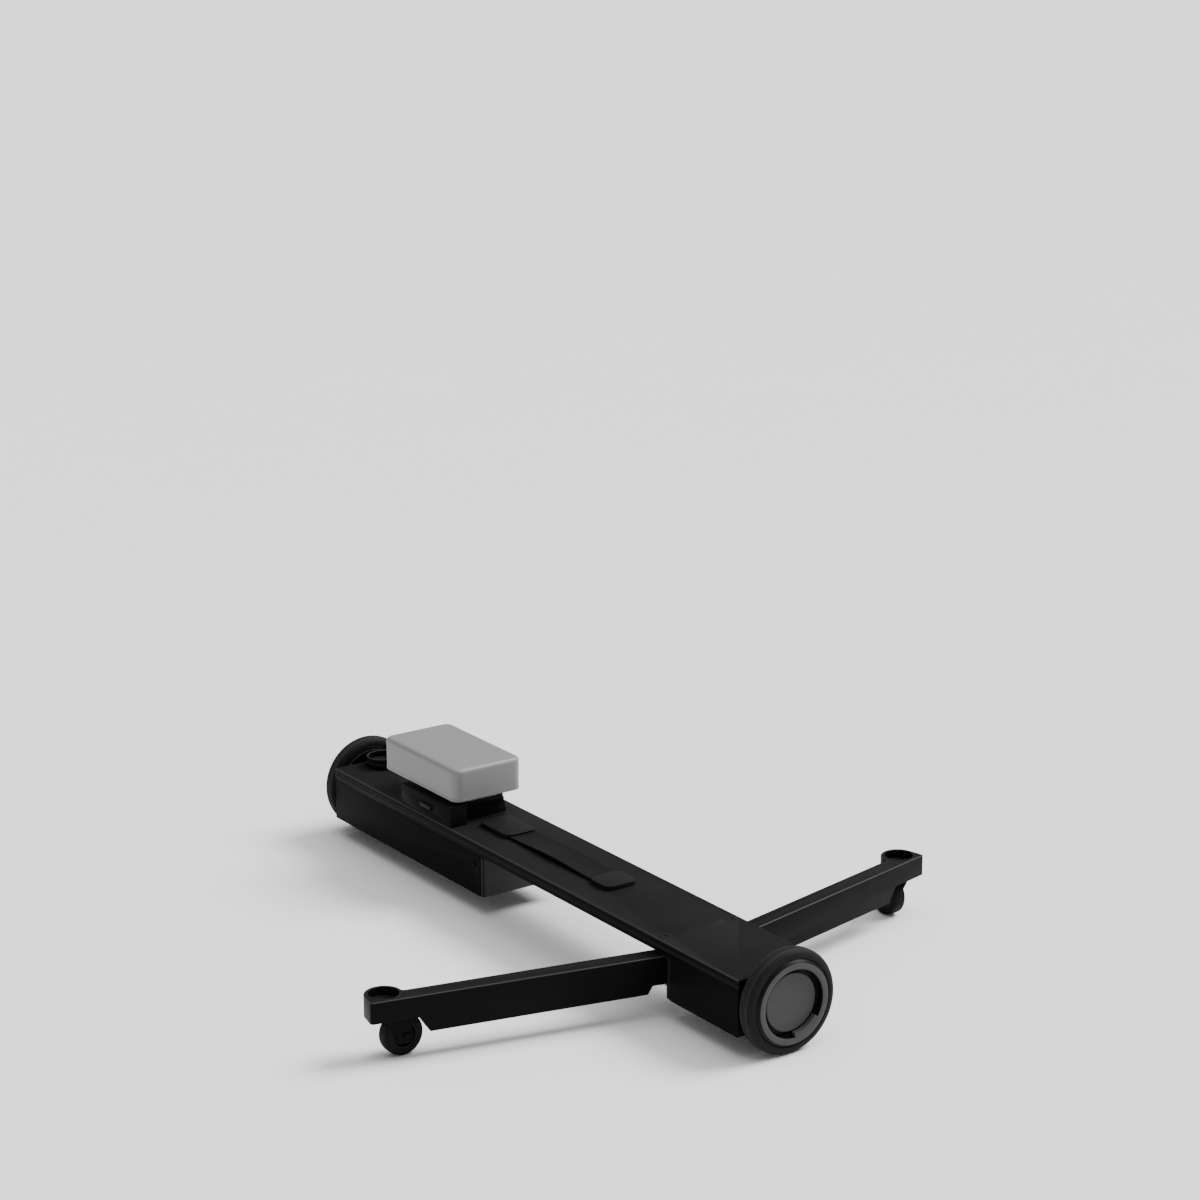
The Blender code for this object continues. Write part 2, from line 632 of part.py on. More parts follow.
def gearmotors():
    """Each wheel's bearing, gearbox and motor, in line with the wheel."""
    bore = AXLE_RADIUS + GAP
    face = -GAP
    back = face - GEARBOX_LENGTH
    motor_face = back - GAP
    motor_back = motor_face - MOTOR_LENGTH
    encoder_back = motor_back - ENCODER_LENGTH
    gearbox_profile = [
        (0, back), (GEARBOX_RADIUS, back), (GEARBOX_RADIUS, face), (bore, face),
        (bore, face - AXLE_SEAT_DEPTH), (0, face - AXLE_SEAT_DEPTH),
    ]
    motor_profile = [
        (0, encoder_back), (ENCODER_RADIUS, encoder_back), (ENCODER_RADIUS, motor_back),
        (MOTOR_RADIUS, motor_back), (MOTOR_RADIUS, motor_face), (0, motor_face),
    ]
    for name, side in SIDES:
        pieces = [
            washer(
                f"{name}_wheel_bearing", bore, BEARING_RADIUS, GAP, END_PLATE_THICKNESS - GAP,
                MIDDLE_STEPS, "steel",
            ),
            turned(f"{name}_gearbox", gearbox_profile, MIDDLE_STEPS, "steel"),
            turned(f"{name}_motor", motor_profile, MIDDLE_STEPS, "black_paint"),
        ]
        for piece in pieces:
            piece.location = (side * PLATE_INSIDE, 0, WHEEL_RADIUS)
            piece.rotation_euler = (0, side * math.pi / 2, 0)


def arm_pivot(name, side):
    """The pin, screw and washer of one arm pivot, all fixed to the beam."""
    place = (PIVOT_X, side * PIVOT_Y, 0)
    pin_top = SKIN_BOTTOM - 2 * GAP
    flange_top = ARM_ROOT_BOTTOM - GAP
    flange_bottom = flange_top - PIN_FLANGE_THICKNESS
    screw_seat = DECK_TOP - PIVOT_SCREW_HEAD
    screw_end = screw_seat - PIVOT_SCREW_LENGTH
    bore = PIVOT_SCREW_RADIUS + GAP
    pin_profile = [
        (0, flange_bottom), (PIN_FLANGE_RADIUS, flange_bottom), (PIN_FLANGE_RADIUS, flange_top),
        (PIN_RADIUS, flange_top), (PIN_RADIUS, pin_top), (bore, pin_top),
        (bore, screw_end - GAP), (0, screw_end - GAP),
    ]
    socket = DECK_TOP - SCREW_SOCKET_DEPTH
    screw_profile = [
        (0, screw_end), (PIVOT_SCREW_RADIUS, screw_end), (PIVOT_SCREW_RADIUS, screw_seat),
        (PIVOT_SCREW_HEAD_RADIUS, screw_seat), (PIVOT_SCREW_HEAD_RADIUS, DECK_TOP),
        (SCREW_SOCKET_RADIUS, DECK_TOP), (SCREW_SOCKET_RADIUS, socket), (0, socket),
    ]
    pieces = [
        turned(f"{name}_pivot_pin", pin_profile, SMALL_STEPS, "steel"),
        turned(f"{name}_pivot_screw", screw_profile, SMALL_STEPS, "black_anodised"),
        washer(
            f"{name}_pivot_washer", PIN_RADIUS + GAP, PIVOT_WASHER_RADIUS,
            ARM_TOP + GAP, DECK_BOTTOM - GAP, SMALL_STEPS, "black_nylon",
        ),
    ]
    for piece in pieces:
        piece.location = place


def arc(x, y, radius, start, end, steps):
    """Returns points along an arc, its angles in degrees."""
    angles = [math.radians(start + (end - start) * step / steps) for step in range(steps + 1)]
    return [(x + radius * math.cos(angle), y + radius * math.sin(angle)) for angle in angles]


def arm_plan(outer):
    """An arm seen from above: a bar with a round root, whose inner side swells round the foot cup."""
    half = ARM_WIDTH / 2
    corner = ARM_TIP_CORNER
    end = ARM_REACH + ARM_TIP_RADIUS
    reach = ARM_TIP_RADIUS + ARM_FILLET
    drop = half + ARM_FILLET - TIP_OFFSET
    lean = math.degrees(math.asin(drop / reach))
    fillet_x = ARM_REACH - math.sqrt(reach ** 2 - drop ** 2)
    plan = arc(0, 0, ARM_ROOT_RADIUS, 90, 270, 10)
    plan += arc(fillet_x, -half - ARM_FILLET, ARM_FILLET, 90, lean, 3)
    plan += arc(ARM_REACH, -TIP_OFFSET, ARM_TIP_RADIUS, 180 + lean, 360, 20)[1:]
    plan += arc(end - corner, half - corner, corner, 0, 90, 4)
    return [(x, outer * y) for x, y in plan]


def tip_recess(outer):
    """The hollow under an arm's tip, where its caster turns, open to the inner side."""
    inside = ARM_WIDTH / 2 - ARM_TIP_WALL
    corner = ARM_TIP_CORNER - ARM_TIP_WALL / 2
    end = ARM_REACH + ARM_SEAT_RADIUS
    fork_reach = math.hypot(FORK_CROWN_HALF_LENGTH, CASTER_WIDTH / 2 + CASTER_SIDE_CLEARANCE + FORK_CHEEK)
    start = SWIVEL_REACH - fork_reach - 2 * FORK_CLEARANCE
    plan = [(ARM_REACH, -2 * ARM_TIP_RADIUS), (start, -2 * ARM_TIP_RADIUS), (start, inside)]
    plan += arc(end - corner, inside - corner, corner, 90, 0, 4)
    plan += arc(ARM_REACH, -TIP_OFFSET, ARM_SEAT_RADIUS, 0, -90, 10)
    return [(x, outer * y) for x, y in plan]


def arm_bar(name, side, carrier):
    """The bar from the pivot to its foot cup, hollow below, raised at its root and over the caster."""
    half = ARM_WIDTH / 2
    bar = prism(f"{name}_arm", arm_plan(-side), "Z", ARM_BOTTOM, ARM_TOP, "black_anodised", carrier)
    bevel(bar, ARM_EDGE)
    bore = rod(f"{name}_arm_bore_cutter", PIN_RADIUS + GAP, 0, DECK_TOP, SMALL_STEPS, None, carrier)
    cut(bar, bore)
    channel = box(
        f"{name}_arm_channel_cutter",
        (ARM_ROOT_RADIUS + ARM_SIDE_WALL, ARM_SIDE_WALL - half, 0),
        (NOTCH_START - ARM_SIDE_WALL, half - ARM_SIDE_WALL, ARM_TOP - ARM_TOP_WALL),
        None,
        carrier,
    )
    cut(bar, channel)
    wide = 2 * ARM_TIP_RADIUS
    foot = ARM_ROOT_LENGTH + ARM_ROOT_RUN * ARM_ROOT_BOTTOM / ARM_ROOT_RISE
    root = [(-wide, 0), (foot, 0), (ARM_ROOT_LENGTH, ARM_ROOT_BOTTOM), (-wide, ARM_ROOT_BOTTOM)]
    cut(bar, prism(f"{name}_arm_root_cutter", root, "Y", -wide, wide, None, carrier))
    skirt = ARM_TIP_BOTTOM - ARM_TIP_SKIRT
    slope = ARM_NOTCH_RUN / (skirt - ARM_BOTTOM)
    beyond = ARM_REACH + 2 * ARM_TIP_RADIUS
    below = [(NOTCH_START - slope * ARM_BOTTOM, 0), (NOTCH_END, skirt), (beyond, skirt), (beyond, 0)]
    cut(bar, prism(f"{name}_arm_notch_cutter", below, "Y", -wide, wide, None, carrier))
    cut(bar, prism(f"{name}_tip_recess_cutter", tip_recess(-side), "Z", 0, ARM_TIP_BOTTOM, None, carrier))
    seat = rod(f"{name}_cup_seat_cutter", ARM_SEAT_RADIUS, ARM_TIP_SEAT, DECK_TOP, MIDDLE_STEPS, None, carrier)
    seat.location = (ARM_REACH, side * TIP_OFFSET, 0)
    cut(bar, seat)
    pocket_radius = NUT_RADIUS + 2 * GAP
    for label, radius, low in (("stem_bore", STEM_RADIUS + GAP, 0), ("nut_pocket", pocket_radius, NUT_POCKET_FLOOR)):
        tool = rod(f"{name}_{label}_cutter", radius, low, DECK_TOP, SMALL_STEPS, None, carrier)
        tool.location = (SWIVEL_REACH, side * TIP_OFFSET, 0)
        cut(bar, tool)


def cup_profile(radius, wall, chamfer, bottom, floor_top, rim):
    """Returns the section of a foot cup with a chamfered foot and rim."""
    inside = radius - wall
    edge = wall / 3
    return [
        (0, bottom), (radius - chamfer, bottom), (radius, bottom + chamfer),
        (radius, rim - edge), (radius - edge, rim), (inside + edge, rim),
        (inside, rim - edge), (inside, floor_top), (0, floor_top),
    ]


def arm_cup(name, side, carrier):
    """A foot cup let into its arm's tip, almost flush with the arm's top, with its rubber pad."""
    profile = cup_profile(
        ARM_CUP_RADIUS, ARM_CUP_WALL, ARM_CUP_CHAMFER, ARM_CUP_BOTTOM, ARM_CUP_FLOOR_TOP, CUP_RIM
    )
    pad_low = ARM_CUP_FLOOR_TOP + GAP
    pieces = [
        turned(f"{name}_foot_cup", profile, MIDDLE_STEPS, "black_anodised", carrier),
        rod(
            f"{name}_cup_pad", ARM_CUP_INSIDE - GAP, pad_low, pad_low + PAD_THICKNESS,
            MIDDLE_STEPS, "black_rubber", carrier,
        ),
    ]
    for piece in pieces:
        piece.location = (ARM_REACH, side * TIP_OFFSET, 0)


def stem_nut(name, carrier):
    """The hexagon nut that holds a caster's stem in its arm."""
    low = NUT_POCKET_FLOOR + GAP
    high = low + NUT_THICKNESS
    nut = rod(f"{name}_caster_nut", NUT_RADIUS, low, high, HEXAGON, "steel", carrier)
    bore = rod(f"{name}_nut_bore_cutter", STEM_RADIUS + GAP, 0, DECK_TOP, SMALL_STEPS, None, carrier)
    cut(nut, bore)


def fork(name, carrier):
    """A caster's fork in one piece: stem, crown, two cheeks and the wheel's axle."""
    inside = CASTER_WIDTH / 2 + CASTER_SIDE_CLEARANCE
    half = inside + FORK_CHEEK
    shoulder = CROWN_TOP - FORK_CROWN_SIDE
    outline = [
        (FORK_CROWN_HALF_LENGTH, CROWN_TOP), (-FORK_CROWN_HALF_LENGTH, CROWN_TOP),
        (-FORK_CROWN_HALF_LENGTH, shoulder),
    ]
    arc_steps = 10
    for step in range(arc_steps + 1):
        angle = math.radians(205 + 145 * step / arc_steps)
        outline.append((
            CASTER_TRAIL + FORK_END_RADIUS * math.cos(angle),
            CASTER_RADIUS + FORK_END_RADIUS * math.sin(angle),
        ))
    outline.append((FORK_CROWN_HALF_LENGTH, shoulder))
    body = prism(f"{name}_caster_fork", outline, "Y", -half, half, "black_paint", carrier)
    reach = FORK_CROWN_HALF_LENGTH + CASTER_RADIUS
    slot = box(f"{name}_fork_slot_cutter", (-reach, -inside, 0), (reach, inside, CROWN_BOTTOM), None, carrier)
    cut(body, slot)
    axle_half = half - FORK_CHEEK / 3
    axle = rod(f"{name}_caster_axle", CASTER_AXLE_RADIUS, -axle_half, axle_half, SMALL_STEPS, None, carrier)
    axle.location = (CASTER_TRAIL, 0, CASTER_RADIUS)
    axle.rotation_euler = (math.pi / 2, 0, 0)
    join(body, axle)
    stem_low = CROWN_TOP - FORK_CROWN / 2
    stem_top = NUT_POCKET_FLOOR + NUT_THICKNESS
    stem = rod(f"{name}_caster_stem", STEM_RADIUS, stem_low, stem_top, SMALL_STEPS, None, carrier)
    join(body, stem)


def caster_wheel(name, carrier):
    """A caster's tyre on its hub, which turn on the fork's axle."""
    section = tyre_profile(CASTER_RADIUS, CASTER_WIDTH, CASTER_TYRE_DEPTH, CASTER_SHOULDER)
    half = CASTER_WIDTH / 2
    bore = CASTER_AXLE_RADIUS + GAP
    boss = CASTER_HUB_RADIUS / 2
    recess = half - CASTER_SHOULDER
    felly = CASTER_HUB_RADIUS - CASTER_SHOULDER
    hub_section = [
        (bore, -half), (boss, -half), (boss, -recess), (felly, -recess), (felly, -half),
        (CASTER_HUB_RADIUS, -half), (CASTER_HUB_RADIUS, half),
        (felly, half), (felly, recess), (boss, recess), (boss, half), (bore, half),
    ]
    pieces = [
        turned(f"{name}_caster_tyre", section, MIDDLE_STEPS, "black_rubber", carrier, ring=True),
        turned(f"{name}_caster_hub", hub_section, MIDDLE_STEPS, "black_nylon", carrier, ring=True),
    ]
    for piece in pieces:
        piece.rotation_euler = (math.pi / 2, 0, 0)


def arm(name, side):
    """One folding arm with its pivot, foot cup, swivel bearing and caster."""
    arm_pivot(name, side)
    heading = side * (math.pi / 2 + ARM_SPREAD)
    carrier = empty(f"{name}_arm_pivot", (PIVOT_X, side * PIVOT_Y, 0), heading)
    arm_bar(name, side, carrier)
    arm_cup(name, side, carrier)

    trail = math.pi / 2 if side < 0 else math.pi
    place = (SWIVEL_REACH, side * TIP_OFFSET, 0)
    swivel = empty(f"{name}_caster_swivel", place, trail - heading, carrier)
    washer(
        f"{name}_swivel_bearing", STEM_RADIUS + GAP, SWIVEL_BEARING_RADIUS, CROWN_TOP + GAP,
        SWIVEL_BEARING_TOP, SMALL_STEPS, "steel", swivel,
    )
    stem_nut(name, swivel)
    fork(name, swivel)
    caster_wheel(name, empty(f"{name}_caster_spin", (CASTER_TRAIL, 0, CASTER_RADIUS), 0, swivel))


def beam_cup():
    """The third foot cup, on the deck beside the left wheel."""
    place = (BEAM_CUP_X, 0, 0)
    floor_top = ABOVE_DECK + BEAM_CUP_FLOOR
    rim = ABOVE_DECK + BEAM_CUP_HEIGHT
    profile = cup_profile(CUP_RADIUS, CUP_WALL, CUP_CHAMFER, ABOVE_DECK, floor_top, rim)
    cup = turned("beam_foot_cup", profile, MIDDLE_STEPS, "black_anodised")
    cup.location = place
    pad_low = floor_top + GAP
    pad_top = pad_low + PAD_THICKNESS
    pad_radius = CUP_RADIUS - CUP_WALL - GAP
    pad = rod("beam_cup_pad", pad_radius, pad_low, pad_top, MIDDLE_STEPS, "black_rubber")
    pad.location = place


def battery_saddle():
    """The raised saddle under the battery plate, stepped at its right end, with a tall front wall."""
    outline = [(MOUNT_LEFT, ABOVE_DECK), (MOUNT_RIGHT, ABOVE_DECK)]
    rise = MOUNT_HEIGHT / MOUNT_STEPS
    run = MOUNT_SLOPE / MOUNT_STEPS
    for step in range(MOUNT_STEPS):
        level = ABOVE_DECK + (step + 1) * rise
        outline.append((MOUNT_RIGHT - step * run, level))
        outline.append((MOUNT_RIGHT - (step + 1) * run, level))
    outline.append((MOUNT_LEFT, MOUNT_TOP))
    half = MOUNT_HALF_WIDTH
    saddle = prism("battery_saddle", outline, "Y", -half, half, "black_paint")
    front = FRONT_WALL_INSET - HALF_WIDTH
    behind = MOUNT_WALL / 2 - half
    wall_end = MOUNT_RIGHT + FRONT_WALL_EXTENSION
    wall = box(
        "saddle_front_wall",
        (MOUNT_LEFT, front, ABOVE_DECK),
        (wall_end, behind, ABOVE_DECK + FRONT_WALL_HEIGHT),
    )
    join(saddle, wall)
    hollow = box(
        "saddle_hollow_cutter",
        (MOUNT_LEFT + MOUNT_WALL, MOUNT_WALL - half, DECK_BOTTOM),
        (MOUNT_RIGHT - MOUNT_SLOPE - MOUNT_WALL, half - MOUNT_WALL, MOUNT_TOP - MOUNT_WALL),
    )
    cut(saddle, hollow)
    release_button(saddle, front)


def release_button(saddle, front):
    """The battery's release button, which is pressed into the saddle's front wall."""
    middle_x = (PLATE_LEFT + PLATE_RIGHT) / 2
    middle_z = ABOVE_DECK + FRONT_WALL_HEIGHT / 2
    half_x = RELEASE_LENGTH / 2
    half_z = RELEASE_HEIGHT / 2
    pocket = box(
        "release_pocket_cutter",
        (middle_x - half_x - GAP, front - RELEASE_DEPTH, middle_z - half_z - GAP),
        (middle_x + half_x + GAP, front + RELEASE_DEPTH + RELEASE_TRAVEL + GAP, middle_z + half_z + GAP),
    )
    cut(saddle, pocket)
    button = box(
        "release_button",
        (middle_x - half_x, front - RELEASE_PROUD, middle_z - half_z),
        (middle_x + half_x, front + RELEASE_DEPTH, middle_z + half_z),
        "black_paint",
    )
    bevel(button, RELEASE_PROUD / 3)


def dovetail(slack):
    """Returns the dovetail's section, grown by a slack on each side."""
    floor = PLATE_TOP - DOVETAIL_DEPTH - slack
    wide = DOVETAIL_BOTTOM / 2 + slack
    narrow = DOVETAIL_TOP / 2 + slack
    return floor, wide, narrow


def battery_plate():
    """The plate with the dovetail groove that the battery slides into."""
    low = (PLATE_LEFT, -PLATE_HALF_WIDTH, PLATE_BOTTOM)
    high = (PLATE_RIGHT, PLATE_HALF_WIDTH, PLATE_TOP)
    plate = box("battery_plate", low, high, "black_nylon")
    floor, wide, narrow = dovetail(GAP)
    top = PLATE_TOP + GAP
    section = [(-wide, floor), (wide, floor), (narrow, top), (-narrow, top)]
    start = PLATE_RIGHT - DOVETAIL_LENGTH - GAP
    groove = prism("dovetail_cutter", section, "X", start, PLATE_RIGHT + DOVETAIL_LENGTH)
    cut(plate, groove)


def battery():
    """The battery: an open-bottomed case over its cells, on a base with the dovetail wedge."""
    base_top = BATTERY_BOTTOM + BATTERY_BASE
    outline = rounded_outline(
        BATTERY_LEFT, BATTERY_RIGHT, -BATTERY_HALF_WIDTH, BATTERY_HALF_WIDTH, BATTERY_CORNER
    )
    base = prism("battery_base", outline, "Z", BATTERY_BOTTOM, base_top, "battery_grey")
    floor, wide, narrow = dovetail(0)
    top = BATTERY_BOTTOM + BATTERY_BASE / 2
    section = [
        (-wide, floor), (wide, floor), (narrow, PLATE_TOP),
        (narrow, top), (-narrow, top), (-narrow, PLATE_TOP),
    ]
    wedge = prism("dovetail_wedge", section, "X", PLATE_RIGHT - DOVETAIL_LENGTH, PLATE_RIGHT)
    join(base, wedge)

    case = prism("battery_case", outline, "Z", base_top + GAP, BATTERY_TOP, "battery_grey")
    bevel(case, BATTERY_EDGE, 3)
    case.modifiers["edges"].limit_method = "WEIGHT"
    weigh_top_edges(case.data, BATTERY_TOP)
    inset = BATTERY_WALL
    hollow = box(
        "battery_hollow_cutter",
        (BATTERY_LEFT + inset, inset - BATTERY_HALF_WIDTH, BATTERY_BOTTOM),
        (BATTERY_RIGHT - inset, BATTERY_HALF_WIDTH - inset, BATTERY_TOP - BATTERY_EDGE),
    )
    bevel(hollow, BATTERY_HOLLOW_CORNER)
    cut(case, hollow)
    inset += CELL_MARGIN
    cells = box(
        "battery_cells",
        (BATTERY_LEFT + inset, inset - BATTERY_HALF_WIDTH, base_top + GAP),
        (BATTERY_RIGHT - inset, BATTERY_HALF_WIDTH - inset, BATTERY_TOP - BATTERY_EDGE - CELL_MARGIN),
        "cell_blue",
    )
    bevel(cells, BATTERY_HOLLOW_CORNER)


def weigh_top_edges(mesh, level):
    """Marks the edges of one level for a bevel by weight."""
    weights = mesh.attributes.new("bevel_weight_edge", "FLOAT", "EDGE")
    for edge in mesh.edges:
        heights = [mesh.vertices[index].co.z for index in edge.vertices]
        if min(heights) > level - GAP:
            weights.data[edge.index].value = 1.0


def carry_strap():
    """The strap along the deck, slightly arched, and the cap over each of its ends."""
    left_end = MOUNT_RIGHT + STRAP_MOUNT_GAP
    right_end = left_end + STRAP_LENGTH
    left_cap = (left_end, left_end + LEFT_CAP_LENGTH)
    right_cap = (right_end - RIGHT_CAP_LENGTH, right_end)
    start = left_cap[0] + STRAP_INSET
    end = right_cap[1] - STRAP_INSET
    arch_start = left_cap[1]
    arch_end = right_cap[0]
    steps = 16
    lower = [(start, ABOVE_DECK)]
    for step in range(steps + 1):
        share = step / steps
        x = arch_start + (arch_end - arch_start) * share
        lower.append((x, ABOVE_DECK + STRAP_RISE * math.sin(math.pi * share) ** 2))
    lower.append((end, ABOVE_DECK))
    upper = [(x, z + STRAP_THICKNESS) for x, z in reversed(lower)]
    prism("carry_strap", lower + upper, "Y", -STRAP_HALF_WIDTH, STRAP_HALF_WIDTH, "black_rubber")

    ceiling = ABOVE_DECK + STRAP_THICKNESS + GAP
    for name, (low, high) in (("left", left_cap), ("right", right_cap)):
        outline = rounded_outline(low, high, -STRAP_CAP_HALF_WIDTH, STRAP_CAP_HALF_WIDTH, STRAP_CAP_CORNER)
        cap = prism(f"strap_{name}_cap", outline, "Z", ABOVE_DECK, ceiling + STRAP_CAP_ROOF, "black_nylon")
        tunnel = box(
            f"strap_{name}_tunnel_cutter",
            (start - GAP, -STRAP_HALF_WIDTH - GAP, DECK_BOTTOM),
            (end + GAP, STRAP_HALF_WIDTH + GAP, ceiling),
        )
        cut(cap, tunnel)


def controller_board():
    """The motor controller on its folded carrier, with a heat sink."""
    left = BOARD_END_MARGIN - HOUSING_END
    right = left + BOARD_LENGTH
    middle = (left + right) / 2
    foot = FLOOR_TOP + GAP
    under = foot + BOARD_STANDOFF
    top = under + BOARD_THICKNESS
    sink_left = middle - HEAT_SINK_LENGTH / 2
    sink_right = middle + HEAT_SINK_LENGTH / 2
    outline = [
        (left, foot), (left + BOARD_FOOT, foot), (left + BOARD_FOOT, under),
        (right - BOARD_FOOT, under), (right - BOARD_FOOT, foot), (right, foot), (right, top),
        (sink_right, top), (sink_right, top + HEAT_SINK_HEIGHT), (sink_left, top + HEAT_SINK_HEIGHT),
        (sink_left, top), (left, top),
    ]
    half = BOARD_WIDTH / 2
    prism("controller_board", outline, "Y", -half, half, "circuit_green")


def power_button():
    """The round push button in the left housing's front wall, flanged inside the wall."""
    wall = HOUSING_WALL
    flange = wall + GAP
    back = flange + BUTTON_FLANGE + BUTTON_STEM
    profile = [
        (0, -BUTTON_PROUD), (BUTTON_RADIUS, -BUTTON_PROUD), (BUTTON_RADIUS, flange),
        (BUTTON_FLANGE_RADIUS, flange), (BUTTON_FLANGE_RADIUS, flange + BUTTON_FLANGE),
        (BUTTON_RADIUS / 2, flange + BUTTON_FLANGE), (BUTTON_RADIUS / 2, back), (0, back),
    ]
    button = turned("power_button", profile, SMALL_STEPS, "black_paint")
    button.location = (LEFT_BAY_END - BUTTON_INSET, -HALF_WIDTH, DECK_BOTTOM - BUTTON_DROP)
    button.rotation_euler = (-math.pi / 2, 0, 0)


def main():
    clear_scene()
    deck_plate()
    bay_cover()
    pivot_block()
    housings()
    gearmotors()
    driven_wheels()
    for name, side in ENDS:
        arm(name, side)
    beam_cup()
    battery_saddle()
    battery_plate()
    battery()
    carry_strap()
    controller_board()
    power_button()


main()
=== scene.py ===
import contextlib
import json
import math

import bmesh
import bpy
from bpy.props import FloatProperty, FloatVectorProperty, IntProperty, PointerProperty
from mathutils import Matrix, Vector

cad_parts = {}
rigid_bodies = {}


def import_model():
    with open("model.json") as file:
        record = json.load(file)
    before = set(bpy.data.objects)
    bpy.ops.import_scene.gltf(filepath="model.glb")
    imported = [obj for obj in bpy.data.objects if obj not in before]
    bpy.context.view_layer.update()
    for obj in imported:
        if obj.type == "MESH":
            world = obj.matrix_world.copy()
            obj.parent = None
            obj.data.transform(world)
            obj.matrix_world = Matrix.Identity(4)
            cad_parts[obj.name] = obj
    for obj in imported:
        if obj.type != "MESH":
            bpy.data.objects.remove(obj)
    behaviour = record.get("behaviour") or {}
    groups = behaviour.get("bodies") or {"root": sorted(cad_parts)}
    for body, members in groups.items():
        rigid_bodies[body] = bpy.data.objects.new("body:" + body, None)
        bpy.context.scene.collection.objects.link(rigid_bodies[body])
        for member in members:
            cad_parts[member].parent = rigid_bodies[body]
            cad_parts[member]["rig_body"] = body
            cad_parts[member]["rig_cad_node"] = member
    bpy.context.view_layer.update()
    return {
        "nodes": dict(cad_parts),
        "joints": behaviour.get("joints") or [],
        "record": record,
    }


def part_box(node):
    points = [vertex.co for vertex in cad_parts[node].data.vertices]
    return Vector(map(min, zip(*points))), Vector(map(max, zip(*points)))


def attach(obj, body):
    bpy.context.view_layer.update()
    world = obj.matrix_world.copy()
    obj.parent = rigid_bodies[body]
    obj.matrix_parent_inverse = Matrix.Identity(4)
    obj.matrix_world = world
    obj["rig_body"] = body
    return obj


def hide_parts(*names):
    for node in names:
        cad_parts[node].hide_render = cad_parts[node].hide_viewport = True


bl_info = {
    "name": "Camera Dolly Looks",
    "version": (1, 0, 0),
    "blender": (4, 5, 0),
    "location": "View3D > Sidebar > Dolly",
    "description": "Fine pieces and finishes for a motorized camera dolly",
    "category": "Object",
}

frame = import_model()

MM = 0.001
WELD = 0.002 * MM
WHEEL_RADIUS = 60.0 * MM
RIM_RING = 46.1 * MM
CUP_PAD_GAP = 0.3 * MM

# Where a finish changes: distances from the frame's middle planes, and heights above the floor. The deck's
# side, line and edge, the cap's side and the tyre's outer wall mark where painted highlights, painted
# light and the cap's black sides begin.
DECK_SIDE = 55.3 * MM
DECK_LINE_LOW = 81.5 * MM
DECK_LINE_HIGH = 86.6 * MM
DECK_EDGE = 90.3 * MM
CAP_SIDE = 54.9 * MM
TYRE_OUTER_WALL = 442.5 * MM

# The pale floor lights the walls from below, so most black finishes reflect little
LOW_GLOSS = 0.08

SIDES = (("left", -1), ("right", 1))
ENDS = (("front", -1), ("rear", 1))
BODY_OF = {
    node: body
    for body, nodes in frame["record"]["behaviour"]["bodies"].items()
    for node in nodes
}
SLOT_OF = {row["node"]: row["material_slot"] for row in frame["record"]["subparts"]}
JOINT_AT = {
    joint["name"]: Vector(joint["pos_m"])
    for joint in frame["joints"]
    if "pos_m" in joint
}


class DollySizes(bpy.types.PropertyGroup):
    """Sizes of the fine pieces"""

    edge: FloatProperty(
        name="Machined edge", description="Width of the broken edges of machined pieces",
        default=0.0004, min=0.0001, max=0.001, precision=5, subtype="DISTANCE", unit="LENGTH",
    )
    moulded_edge: FloatProperty(
        name="Moulded edge", description="Width of the rounded edges of moulded pieces",
        default=0.0008, min=0.0001, max=0.002, precision=5, subtype="DISTANCE", unit="LENGTH",
    )
    wheel_steps: IntProperty(
        name="Wheel steps", description="Number of flats round a driven wheel",
        default=160, min=48, max=256,
    )
    small_steps: IntProperty(
        name="Small steps", description="Number of flats round a caster wheel or a cup",
        default=96, min=32, max=160,
    )
    shoulder_radius: FloatProperty(
        name="Shoulder width", description="How far the driven tyre's round shoulder reaches inwards",
        default=0.008, min=0.003, max=0.009, precision=4, subtype="DISTANCE", unit="LENGTH",
    )
    shoulder_depth: FloatProperty(
        name="Shoulder depth", description="How far the driven tyre's round shoulder falls back",
        default=0.008, min=0.003, max=0.008, precision=4, subtype="DISTANCE", unit="LENGTH",
    )
    well_radius: FloatProperty(
        name="Well radius", description="Radius of the round well in the wheel's face",
        default=0.0392, min=0.036, max=0.044, precision=4, subtype="DISTANCE", unit="LENGTH",
    )
    hub_recess: FloatProperty(
        name="Hub cap recess", description="How far the hub cap lies behind the wheel's face",
        default=0.0062, min=0.003, max=0.009, precision=4, subtype="DISTANCE", unit="LENGTH",
    )
    battery_corner: FloatProperty(
        name="Battery corner", description="Radius of the battery's upright corners",
        default=0.012, min=0.002, max=0.015, precision=4, subtype="DISTANCE", unit="LENGTH",
    )
    battery_edge: FloatProperty(
        name="Battery edge", description="Radius of the battery's upper edge",
        default=0.006, min=0.001, max=0.010, precision=4, subtype="DISTANCE", unit="LENGTH",
    )
    screw_radius: FloatProperty(
        name="Small screw", description="Radius of the small flush screws",
        default=0.0028, min=0.001, max=0.005, precision=4, subtype="DISTANCE", unit="LENGTH",
    )


